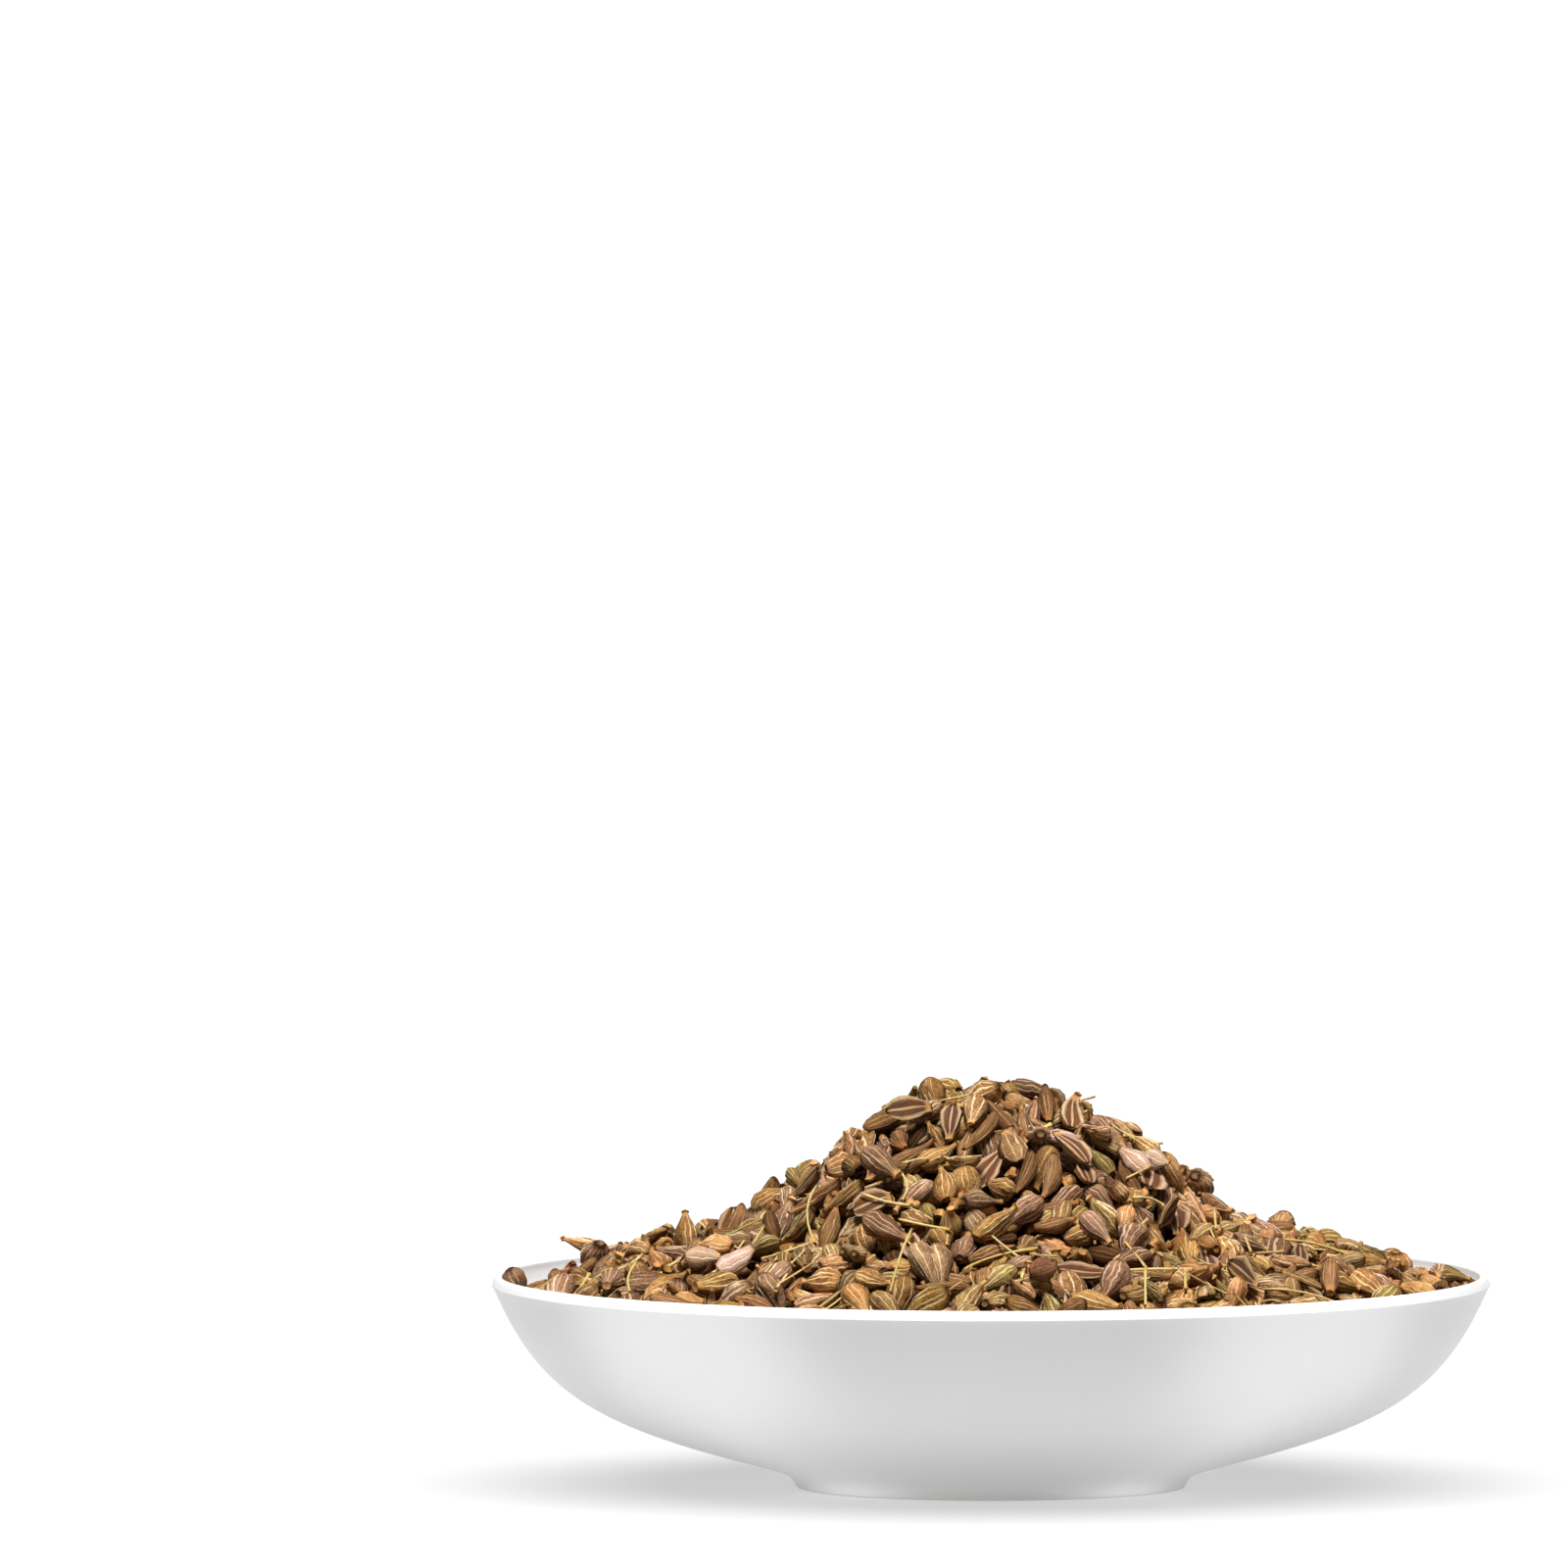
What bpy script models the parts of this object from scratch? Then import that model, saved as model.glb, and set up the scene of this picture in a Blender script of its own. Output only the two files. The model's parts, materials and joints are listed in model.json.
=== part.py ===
"""Whole anise seed heaped in a small, shallow dish of white glazed porcelain.

The dish stands on its foot ring at z = 0 with its axis on Z. The seed fills it to just under
the rim and rises in a rounded mound over the middle. Lengths are in metres, +Z is up.
"""

import math
import random

import bmesh
import bpy
from mathutils import Euler, Matrix, Vector
from mathutils.geometry import delaunay_2d_cdt, interpolate_bezier

MM = 0.001
DEG = math.pi / 180

# The dish, a turned shape.
SEGMENTS = 64
RIM_RADIUS = 50.0 * MM
DISH_HEIGHT = 21.3 * MM
LIP_THICKNESS = 1.1 * MM
LIP_STEP = 0.12 * MM  # the wall starts this far inside the lip's outer face
LIP_POINTS = 5
FOOT_RADIUS = 19.5 * MM
FOOT_RING_WIDTH = 1.3 * MM
FOOT_RECESS = 1.0 * MM
FOOT_TOP_RADIUS = 23.7 * MM
FOOT_TOP_HEIGHT = 2.4 * MM
BELLY_START = Vector((15.9, 4.1)) * MM  # Bezier handle that leaves the top of the foot
BELLY_END = Vector((4.5, 10.8)) * MM  # Bezier handle that comes down from the lip
BELLY_POINTS = 8
FOOT_RISE = 0.55  # share of the foot's height that it climbs before it flares
FOOT_FLARE = 2.2 * MM  # length of the Bezier handle at the top of the flare
FOOT_POINTS = 4
WALL_AT_RIM = 1.0 * MM
WALL_AT_FOOT = 1.9 * MM
WELL_RADIUS = 14.0 * MM  # the flat middle of the dish's inside
WELL_HEIGHT = 3.2 * MM
WELL_SAG = 0.3 * MM
WELL_POINTS = 3

# The heap's mean surface.
GAP = 0.35 * MM  # between the seed and the glaze
HEAP_RADIUS = 47.9 * MM
SUMMIT = 40.8 * MM
MOUND_RADIUS = 24.0 * MM
MOUND_DROP = 13.5 * MM
MOUND_POWER = 1.7
SKIRT_TOP = 26.3 * MM
SKIRT_DROP = 7.0 * MM
SKIRT_POWER = 3.2
FOOT_OF_MOUND_BLEND = 1.6 * MM
LOBE_DEPTH = 0.035
LOBES = ((2, 1.0, 0.9), (5, 0.6, 2.1))  # waves round the mound: how many, how strong, their phase
SWELL = 0.5 * MM
SWELL_WAVES = 3
SWELL_PHASE = 0.4
SLOPE_STEP = 1.5 * MM  # half the distance over which the surface's slope is read

# The seeds.
SEED_LENGTH = 4.6 * MM
SEED_WIDTH = 2.4 * MM
SEED_THICKNESS = 2.0 * MM
SIZE_SPREAD = 0.16
PLACES = 560  # seed places spread over the heap, a little closer together on the mound
REACH_POWER = 0.54  # 0.5 would spread them evenly as seen from above
PROUD_EVERY = 7  # one place in so many holds a whole seed that lies on top
TRIES = 24  # headings tried for each bedded seed, to find one that clears its neighbours
STRAY = 0.5 * MM
NEIGHBOUR_REACH = 5.5 * MM
CROWDED = 1.1  # a point nearer to a seed than this share of its half size crowds it
CREST_HEIGHT = 1.0 * MM
VALLEY_DEPTH = 0.5 * MM
# A bedded seed seen from above: places as shares of its half length and half width.
OUTLINE = ((-1.0, 0.0), (-0.5, 0.92), (0.45, 0.8), (1.0, 0.0), (0.45, -0.8), (-0.5, -0.92))
CREST = ((-0.42, 1.0), (0.4, 0.8))  # place along the seed, share of the crest's height
LEAST_SPACING = 0.4 * MM
EDGE_MARGIN = 0.5 * MM
PROUD_MARGIN = 3.2 * MM
PROUD_LIFT = 0.8 * MM
MOST_TILT = 42 * DEG
GOLDEN_ANGLE = math.pi * (3 - math.sqrt(5))
SIDES = 5
SEED_RINGS = ((-0.72, 0.66), (-0.08, 1.0), (0.58, 0.56))  # place along the seed, share of its width
TIP_REACH = 1.12  # the drawn-out tip, as a share of the half length


def clear_scene():
    for obj in list(bpy.data.objects):
        bpy.data.objects.remove(obj)


def finish(name, colour, roughness, coat=0.0):
    material = bpy.data.materials.new(name)
    material.use_nodes = True
    shader = material.node_tree.nodes["Principled BSDF"]
    shader.inputs["Base Color"].default_value = (*colour, 1.0)
    shader.inputs["Roughness"].default_value = roughness
    shader.inputs["Metallic"].default_value = 0.0
    shader.inputs["Coat Weight"].default_value = coat
    return material


def new_object(name, mesh_maker, material):
    mesh = bpy.data.meshes.new(name)
    mesh_maker.to_mesh(mesh)
    mesh_maker.free()
    obj = bpy.data.objects.new(name, mesh)
    bpy.context.scene.collection.objects.link(obj)
    mesh.materials.append(material)
    return obj


def bezier(start, start_handle, end_handle, end, points):
    """A cubic curve in the profile plane, as (radius, height) vectors."""
    ends = [v.to_3d() for v in (start, start_handle, end_handle, end)]
    return [p.to_2d() for p in interpolate_bezier(*ends, points)]


def belly():
    """The dish's outside from the top of the foot to the lip."""
    low = Vector((FOOT_TOP_RADIUS, FOOT_TOP_HEIGHT))
    high = Vector((RIM_RADIUS - LIP_STEP, DISH_HEIGHT - LIP_THICKNESS))
    return bezier(low, low + BELLY_START, high - BELLY_END, high, BELLY_POINTS)


def foot():
    """The concave flare from the foot ring's edge up to the belly."""
    low = Vector((FOOT_RADIUS, 0.0))
    high = Vector((FOOT_TOP_RADIUS, FOOT_TOP_HEIGHT))
    steep = low.lerp(Vector((FOOT_RADIUS, FOOT_TOP_HEIGHT)), FOOT_RISE)
    shallow = high - BELLY_START.normalized() * FOOT_FLARE
    return bezier(low, steep, shallow, high, FOOT_POINTS)


def lip():
    """A half-round edge, from its outer foot over the top to the inside."""
    radius = LIP_THICKNESS / 2
    centre = Vector((RIM_RADIUS - radius, DISH_HEIGHT - radius))
    turns = [math.pi * i / (LIP_POINTS - 1) for i in range(LIP_POINTS)]
    return [centre + radius * Vector((math.cos(t), math.sin(t))) for t in turns]


def inward(profile, thickness_low, thickness_high):
    """The profile moved to its inner side, by a thickness that changes from its start to its end."""
    moved = []
    last = len(profile) - 1
    for i, point in enumerate(profile):
        along = (profile[min(i + 1, last)] - profile[max(i - 1, 0)]).normalized()
        thickness = thickness_low + (thickness_high - thickness_low) * i / last
        moved.append(point + thickness * Vector((-along.y, along.x)))
    return moved


def inside(clearance=0.0):
    """The dish's inside from its axis to just under the lip, or a line that much further in."""
    wall = inward(belly(), WALL_AT_FOOT + clearance, WALL_AT_RIM + clearance)
    well = Vector((WELL_RADIUS, WELL_HEIGHT + clearance))
    start = wall[0]
    sag = well.lerp(start, 0.5) - Vector((0, WELL_SAG))
    bend = bezier(well, sag, start, start, WELL_POINTS)
    return [Vector((0.0, WELL_HEIGHT + clearance)), *bend[:-1], *wall]


def turned(profile):
    """A surface of revolution about Z with its points on the axis merged."""
    bm = bmesh.new()
    verts = [bm.verts.new((p.x, 0.0, p.y)) for p in profile]
    edges = [bm.edges.new(pair) for pair in zip(verts, verts[1:])]
    bmesh.ops.spin(
        bm,
        geom=verts + edges,
        cent=(0, 0, 0),
        axis=(0, 0, 1),
        angle=2 * math.pi,
        steps=SEGMENTS,
        use_merge=True,
    )
    bmesh.ops.remove_doubles(bm, verts=bm.verts, dist=0.001 * MM)
    return bm


def make_dish():
    ring_inner = FOOT_RADIUS - FOOT_RING_WIDTH
    underside = [
        Vector((ring_inner, 0.0)),
        Vector((ring_inner - 0.5 * FOOT_RECESS, FOOT_RECESS)),
        Vector((0.0, FOOT_RECESS)),
    ]
    outside = [*foot()[:-1], *belly(), *lip()]
    bm = turned([*inside(), *reversed(outside), *underside])
    bmesh.ops.recalc_face_normals(bm, faces=bm.faces)
    glaze = finish("white_glaze", (0.86, 0.86, 0.85), 0.12, coat=0.5)
    dish = new_object("dish", bm, glaze)
    dish.data.shade_smooth()
    dish.data.set_sharp_from_angle(angle=40 * DEG)
    return dish


def heap_height(radius, azimuth):
    """Height of the heap's mean surface: a lobed mound that runs out into a skirt."""
    lobes = sum(depth * math.sin(waves * azimuth + phase) for waves, depth, phase in LOBES)
    mound_reach = radius * (1 + LOBE_DEPTH * lobes) / MOUND_RADIUS
    mound = SUMMIT - MOUND_DROP * mound_reach**MOUND_POWER
    skirt = SKIRT_TOP - SKIRT_DROP * (radius / HEAP_RADIUS) ** SKIRT_POWER
    around = math.sin(SWELL_WAVES * azimuth + SWELL_PHASE)
    swell = SWELL * around * math.sin(math.pi * radius / HEAP_RADIUS)
    return (mound + skirt + math.hypot(mound - skirt, FOOT_OF_MOUND_BLEND)) / 2 + swell


def surface_point(x, y):
    return Vector((x, y, heap_height(math.hypot(x, y), math.atan2(y, x))))


def surface_normal(x, y):
    across = surface_point(x + SLOPE_STEP, y) - surface_point(x - SLOPE_STEP, y)
    along = surface_point(x, y + SLOPE_STEP) - surface_point(x, y - SLOPE_STEP)
    return across.cross(along).normalized()


def spread(count, radius, rng, stray):
    """Places spread over a disc, on a sunflower's spiral, each strayed a little."""
    for i in range(count):
        reach = radius * ((i + 0.5) / count) ** REACH_POWER
        x = reach * math.cos(i * GOLDEN_ANGLE) + rng.uniform(-stray, stray)
        y = reach * math.sin(i * GOLDEN_ANGLE) + rng.uniform(-stray, stray)
        if math.hypot(x, y) < radius:
            yield Vector((x, y))


class SeedPlace:
    """Where one seed lies on the heap: its middle, heading and size."""

    def __init__(self, middle, rng):
        self.middle = middle
        self.heading = rng.uniform(0, 2 * math.pi)
        self.size = 1 + rng.uniform(-SIZE_SPREAD, SIZE_SPREAD)

    def spot(self, length_share, width_share=0.0):
        """A point of the seed seen from above."""
        along = Vector((math.cos(self.heading), math.sin(self.heading)))
        forward = along * (0.5 * SEED_LENGTH * self.size * length_share)
        sideways = along.orthogonal() * (0.5 * SEED_WIDTH * self.size * width_share)
        return self.middle + forward + sideways

    def covers(self, point):
        """How far a point lies from the middle, as a share of the way to the seed's edge."""
        off = point - self.middle
        along = Vector((math.cos(self.heading), math.sin(self.heading)))
        length = off.dot(along) / (0.5 * SEED_LENGTH * self.size)
        width = off.cross(along) / (0.5 * SEED_WIDTH * self.size)
        return math.hypot(length, width)

    def crowding(self, neighbours):
        """How deep this seed's outline and its neighbours' lie in each other."""
        depth = 0.0
        for other in neighbours:
            for share in OUTLINE:
                depth += max(0.0, CROWDED - other.covers(self.spot(*share)))
                depth += max(0.0, CROWDED - self.covers(other.spot(*share)))
        return depth


def settled(middles, rng):
    """A seed at each middle, turned the way that lies clearest of the seeds before it."""
    placed = []
    for middle in middles:
        near = [p for p in placed if (p.middle - middle).length < NEIGHBOUR_REACH]
        choices = [SeedPlace(middle, rng) for _ in range(TRIES)]
        placed.append(min(choices, key=lambda choice: choice.crowding(near)))
    return placed


def bedded_points(places):
    """The outlines, in the valleys, and the crests of the bedded seeds, as 3-D points."""
    crests, outlines = [], []
    for place in places:
        for length_share, height_share in CREST:
            raised = CREST_HEIGHT * place.size * height_share
            crests.append(surface_point(*place.spot(length_share)) + Vector((0, 0, raised)))
        for share in OUTLINE:
            outlines.append(surface_point(*place.spot(*share)) - Vector((0, 0, VALLEY_DEPTH)))
    reach = HEAP_RADIUS - EDGE_MARGIN
    return [p for p in crests + outlines if p.xy.length < reach]


def well_apart(points, fixed):
    """The points that lie at least LEAST_SPACING from those already kept, seen from above."""
    kept, cells = [], {}

    def cell(p):
        return round(p.x / LEAST_SPACING), round(p.y / LEAST_SPACING)

    def neighbours(p):
        column, row = cell(p)
        for i in (column - 1, column, column + 1):
            for j in (row - 1, row, row + 1):
                yield from cells.get((i, j), ())

    for p in fixed:
        cells.setdefault(cell(p), []).append(p)
    for p in points:
        if all((p.xy - q.xy).length > LEAST_SPACING for q in neighbours(p)):
            kept.append(p)
            cells.setdefault(cell(p), []).append(p)
    return kept


def heap_core(places):
    """The bulk of the heap: its turned underside, closed by a relief of bedded seeds."""
    edge_height = heap_height(HEAP_RADIUS, 0.0) - SWELL
    under = [p for p in inside(GAP) if p.y < edge_height]
    bm = turned([*under, Vector((HEAP_RADIUS, edge_height))])
    ring = [v for v in bm.verts if any(e.is_boundary for e in v.link_edges)]
    inner = well_apart(bedded_points(places), [v.co for v in ring])
    verts = ring + [bm.verts.new(p) for p in inner]
    result = delaunay_2d_cdt([v.co.xy for v in verts], [], [], 0, 0.0)
    originals, triangles = result[3], result[2]
    for triangle in triangles:
        bm.faces.new([verts[originals[i][0]] for i in triangle])
    bmesh.ops.recalc_face_normals(bm, faces=bm.faces)
    return bm


def seed_shape(size, rng):
    """A low five-sided anise fruit along X, blunt at -X and drawn out to its tip at +X."""
    bm = bmesh.new()
    half = 0.5 * SEED_LENGTH * size
    blunt = bm.verts.new((-half, 0, 0))
    tip = bm.verts.new((TIP_REACH * half, 0, 0))
    turn = rng.uniform(0, 2 * math.pi)
    rings = []
    for place, share in SEED_RINGS:
        ring = []
        for i in range(SIDES):
            angle = turn + 2 * math.pi * i / SIDES
            y = 0.5 * SEED_WIDTH * size * share * math.cos(angle)
            z = 0.5 * SEED_THICKNESS * size * share * math.sin(angle)
            ring.append(bm.verts.new((place * half, y, z)))
        rings.append(ring)
    for i in range(SIDES):
        j = (i + 1) % SIDES
        bm.faces.new((blunt, rings[0][j], rings[0][i]))
        bm.faces.new((tip, rings[-1][i], rings[-1][j]))
        for low, high in zip(rings, rings[1:]):
            bm.faces.new((low[i], low[j], high[j], high[i]))
    bmesh.ops.recalc_face_normals(bm, faces=bm.faces)
    return bm


def proud_seed(place, number, material, rng):
    """A whole seed that lies on the heap, tilted at random, bedded by about half."""
    seed = new_object(f"proud_seed_{number}", seed_shape(place.size, rng), material)
    foot_point = surface_point(*place.middle)
    normal = surface_normal(*place.middle)
    lean = Euler((0, rng.uniform(-MOST_TILT, MOST_TILT), place.heading)).to_matrix()
    upright = Vector((0, 0, 1)).rotation_difference(normal).to_matrix()
    place_at = Matrix.Translation(foot_point + normal * PROUD_LIFT * place.size)
    seed.data.transform(place_at @ (upright @ lean).to_4x4())
    return seed


def keep_largest_shell(mesh):
    """Drops the shells of sealed hollows and loose scraps, which leaves one closed body."""
    bm = bmesh.new()
    bm.from_mesh(mesh)
    left, shells = set(bm.faces), []
    while left:
        shell, front = set(), [left.pop()]
        while front:
            face = front.pop()
            shell.add(face)
            for edge in face.edges:
                fresh = [f for f in edge.link_faces if f in left]
                left.difference_update(fresh)
                front.extend(fresh)
        shells.append(shell)
    shells.sort(key=len)
    for shell in shells[:-1]:
        bmesh.ops.delete(bm, geom=list(shell), context="FACES")
    bm.to_mesh(mesh)
    bm.free()


def fuse(core, seeds):
    """Joins the seeds to the core by one Boolean union, and removes them."""
    loose = bpy.data.collections.new("proud_seeds")
    bpy.context.scene.collection.children.link(loose)
    for seed in seeds:
        bpy.context.scene.collection.objects.unlink(seed)
        loose.objects.link(seed)
    union = core.modifiers.new("fuse", "BOOLEAN")
    union.operation = "UNION"
    union.operand_type = "COLLECTION"
    union.collection = loose
    union.solver = "EXACT"
    bpy.context.view_layer.objects.active = core
    bpy.ops.object.modifier_apply(modifier=union.name)
    for seed in seeds:
        bpy.data.objects.remove(seed)
    bpy.data.collections.remove(loose)
    keep_largest_shell(core.data)


def make_heap():
    rng = random.Random(11)
    brown = finish("anise_brown", (0.23, 0.14, 0.06), 0.8)
    places = settled(spread(PLACES, HEAP_RADIUS, rng, STRAY), rng)
    proud, bedded = [], []
    for i, place in enumerate(places):
        clear_of_dish = place.middle.length < HEAP_RADIUS - PROUD_MARGIN
        lies_on_top = i % PROUD_EVERY == 0 and clear_of_dish
        (proud if lies_on_top else bedded).append(place)
    heap = new_object("seed_heap", heap_core(bedded), brown)
    seeds = [proud_seed(place, i, brown, rng) for i, place in enumerate(proud)]
    fuse(heap, seeds)
    return heap


clear_scene()
make_dish()
make_heap()
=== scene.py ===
import json
import math

import bpy
import numpy as np
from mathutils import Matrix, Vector
from mathutils.geometry import interpolate_bezier

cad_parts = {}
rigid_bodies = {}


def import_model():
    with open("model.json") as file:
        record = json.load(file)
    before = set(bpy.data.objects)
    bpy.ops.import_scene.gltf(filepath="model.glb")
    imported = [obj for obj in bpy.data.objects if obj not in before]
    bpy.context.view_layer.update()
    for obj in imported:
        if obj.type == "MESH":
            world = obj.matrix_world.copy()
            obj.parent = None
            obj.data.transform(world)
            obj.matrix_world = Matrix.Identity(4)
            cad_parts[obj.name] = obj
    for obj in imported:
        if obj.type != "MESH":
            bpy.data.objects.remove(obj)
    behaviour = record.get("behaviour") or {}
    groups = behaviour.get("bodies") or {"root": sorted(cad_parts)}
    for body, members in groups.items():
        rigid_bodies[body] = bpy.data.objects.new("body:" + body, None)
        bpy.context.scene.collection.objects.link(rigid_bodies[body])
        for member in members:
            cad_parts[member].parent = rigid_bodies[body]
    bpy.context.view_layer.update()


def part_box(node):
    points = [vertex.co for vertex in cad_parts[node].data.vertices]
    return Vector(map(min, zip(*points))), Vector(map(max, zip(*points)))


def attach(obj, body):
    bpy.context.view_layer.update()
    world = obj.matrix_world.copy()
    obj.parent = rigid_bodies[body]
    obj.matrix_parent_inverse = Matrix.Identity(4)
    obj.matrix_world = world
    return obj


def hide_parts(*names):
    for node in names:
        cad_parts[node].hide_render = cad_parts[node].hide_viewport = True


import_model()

MM = 0.001


# ---------------------------------------- the view
# The dish is seen from just above its rim through a very long lens, low and to the right in a
# square picture. Places in the picture are pixels of that picture, y down.
PICTURE_SIDE = 1600
RIM_IN_PICTURE = 1020
FOOT_IN_PICTURE = (1011.1, 1517.5)  # the middle of the foot's underside
LOOKS_DOWN = math.radians(4.2)
CAMERA_DISTANCE = 1.0

dish_low, dish_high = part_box("dish")
pixel = (dish_high.x - dish_low.x) / RIM_IN_PICTURE
aim_x = (PICTURE_SIDE / 2 - FOOT_IN_PICTURE[0]) * pixel
aim_z = (FOOT_IN_PICTURE[1] - PICTURE_SIDE / 2) * pixel / math.cos(LOOKS_DOWN)
bpy.ops.object.camera_add(
    location=(
        aim_x,
        -CAMERA_DISTANCE * math.cos(LOOKS_DOWN),
        aim_z + CAMERA_DISTANCE * math.sin(LOOKS_DOWN),
    ),
    rotation=(math.pi / 2 - LOOKS_DOWN, 0, 0),
)
camera = bpy.context.object
camera.name = "camera"
camera.data.type = "ORTHO"
camera.data.ortho_scale = PICTURE_SIDE * pixel
camera.data.clip_end = 10 * CAMERA_DISTANCE
bpy.context.scene.camera = camera


# ---------------------------------------- the dish
# A shallow dish of white porcelain, thrown thin, with a rolled lip and a low flared foot.
# It is dipped in a clear glaze that is wiped off the ring it stands on before it is fired.
RIM_RADIUS = 50.0 * MM
DISH_HEIGHT = 21.3 * MM
LIP_THICKNESS = 1.1 * MM
LIP_STEP = 0.12 * MM
LIP_EDGE = 0.05 * MM
LIP_LEAN = 0.38 * MM
LIP_ROUND = 0.16 * MM
LIP_BAND = (0.08, 0.5)  # where the band has points on its way up
LIP_TOP = ((0.55, 0.0), (0.80, 0.05), (0.97, 0.22))  # how far in and down, in lip thicknesses
FOOT_RADIUS = 19.5 * MM
FOOT_RING_WIDTH = 1.3 * MM
FOOT_RECESS = 1.0 * MM
FOOT_EDGE = 0.12 * MM
RECESS_EDGE = ((1.2, 1.0), (0.5, 0.92))  # how far in from the ring and how high, in recesses
FOOT_UPRIGHT = 0.55  # how far up the foot's side stays upright
FOOT_FLARE = 2.2 * MM  # handle of the curve that flares out to the top of the foot
FOOT_POINTS = 7
FOOT_TOP = Vector((23.7, 2.4)) * MM
BELLY_START = Vector((15.9, 4.1)) * MM  # handle of the curve that leaves the top of the foot
BELLY_END = Vector((4.5, 10.8)) * MM  # handle of the curve that comes down from the lip
BELLY_POINTS = 15
WALL_AT_RIM = 1.0 * MM
WALL_AT_FOOT = 1.9 * MM
WELL = Vector((14.0, 3.2)) * MM
WELL_SAG = 0.3 * MM
WELL_POINTS = 5
DISH_SEGMENTS = 96


def curve(start, start_handle, end_handle, end, points):
    """A cubic curve in the profile's plane, as (radius, height) vectors."""
    ends = [v.to_3d() for v in (start, start_handle, end_handle, end)]
    return [p.to_2d() for p in interpolate_bezier(*ends, points)]


def belly():
    """The outside from the top of the foot to the lip."""
    high = Vector((RIM_RADIUS - LIP_STEP, DISH_HEIGHT - LIP_THICKNESS))
    return curve(FOOT_TOP, FOOT_TOP + BELLY_START, high - BELLY_END, high, BELLY_POINTS)


def foot():
    """The ring that the dish stands on, from under the recess out to the belly."""
    inner = FOOT_RADIUS - FOOT_RING_WIDTH
    recess = [Vector((inner - far * FOOT_RECESS, up * FOOT_RECESS)) for far, up in RECESS_EDGE]
    ring = [
        Vector((inner, FOOT_EDGE)),
        Vector((inner + FOOT_EDGE, 0.0)),
        Vector((FOOT_RADIUS - 2 * FOOT_EDGE, 0.0)),
    ]
    low = Vector((FOOT_RADIUS, FOOT_EDGE))
    steep = low.lerp(Vector((FOOT_RADIUS, FOOT_TOP.y)), FOOT_UPRIGHT)
    shallow = FOOT_TOP - BELLY_START.normalized() * FOOT_FLARE
    return [*recess, *ring, *curve(low, steep, shallow, FOOT_TOP, FOOT_POINTS)[:-1]]


def lip():
    """The rolled edge: a crisp turn, a band that leans in as it rises, and a round top."""
    turn = Vector((RIM_RADIUS, DISH_HEIGHT - LIP_THICKNESS + LIP_EDGE))
    band_top = Vector((RIM_RADIUS - LIP_LEAN, DISH_HEIGHT - LIP_ROUND))
    band = [turn.lerp(band_top, share) for share in LIP_BAND]
    steps = [(far * LIP_THICKNESS, down * LIP_THICKNESS) for far, down in LIP_TOP]
    top = [Vector((RIM_RADIUS - far, DISH_HEIGHT - down)) for far, down in steps]
    return [turn, *band, band_top, *top]


def inside():
    """The inside, from just under the lip down to the well in the middle."""
    outside = belly()
    last = len(outside) - 1
    wall = []
    for i, point in enumerate(outside):
        along = (outside[min(i + 1, last)] - outside[max(i - 1, 0)]).normalized()
        thickness = WALL_AT_FOOT + (WALL_AT_RIM - WALL_AT_FOOT) * i / last
        wall.append(point + thickness * Vector((-along.y, along.x)))
    sag = WELL.lerp(wall[0], 0.5) - Vector((0, WELL_SAG))
    return [*reversed(wall), *reversed(curve(WELL, sag, wall[0], wall[0], WELL_POINTS)[:-1])]


def deselect_all():
    for obj in bpy.data.objects:
        obj.select_set(False)


def raise_from_disc(name, rings):
    """Makes a closed turned piece: a disc drawn out ring by ring through these (radius, height)."""
    deselect_all()
    bpy.ops.mesh.primitive_circle_add(
        vertices=DISH_SEGMENTS,
        radius=rings[0].x,
        fill_type="NGON",
        location=(0, 0, rings[0].y),
    )
    piece = bpy.context.object
    piece.name = name
    bpy.ops.object.transform_apply(location=True, rotation=True, scale=True)
    bpy.ops.object.mode_set(mode="EDIT")
    for before, after in zip(rings, rings[1:]):
        step = {"value": (0, 0, after.y - before.y)}
        bpy.ops.mesh.extrude_region_move(TRANSFORM_OT_translate=step)
        grow = after.x / before.x
        bpy.ops.transform.resize(value=(grow, grow, 1), center_override=(0, 0, after.y))
    bpy.ops.mesh.select_all(action="SELECT")
    bpy.ops.mesh.normals_make_consistent(inside=False)
    bpy.ops.object.mode_set(mode="OBJECT")
    return piece


dish = raise_from_disc("porcelain_dish", [*foot(), *belly(), *lip(), *inside()])
rounding = dish.modifiers.new("rounding", "SUBSURF")
rounding.levels = 1
rounding.render_levels = 1
bpy.ops.object.modifier_apply(modifier=rounding.name)
bpy.ops.object.shade_smooth()


class Wire:
    """A value or colour on its way through a finish. Arithmetic on values adds Math nodes."""

    def __init__(self, finish, socket):
        self.finish = finish
        self.socket = socket

    def maths(self, operation, *values):
        return self.finish.node("Math", {"operation": operation}, dict(enumerate(values)))

    def __add__(self, other):
        return self.maths("ADD", self, other)

    def __sub__(self, other):
        return self.maths("SUBTRACT", self, other)

    def __rsub__(self, other):
        return self.maths("SUBTRACT", other, self)

    def __mul__(self, other):
        return self.maths("MULTIPLY", self, other)

    __radd__ = __add__
    __rmul__ = __mul__

    def fraction(self):
        return self.maths("FRACT", self)

    def floor(self):
        return self.maths("FLOOR", self)

    def cosine(self):
        return self.maths("COSINE", self)

    def sine(self):
        return self.maths("SINE", self)

    def fold(self, length):
        """Runs up to the length and back down again."""
        return self.maths("PINGPONG", self, length)

    def step(self, low, high):
        """Rises smoothly from 0 at low to 1 at high, or falls where low is the greater."""
        rising = low < high
        ends = {1: min(low, high), 2: max(low, high)}
        ends |= {3: 0.0 if rising else 1.0, 4: 1.0 if rising else 0.0}
        return self.finish.node("MapRange", {"interpolation_type": "SMOOTHSTEP"}, {0: self, **ends})


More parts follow.
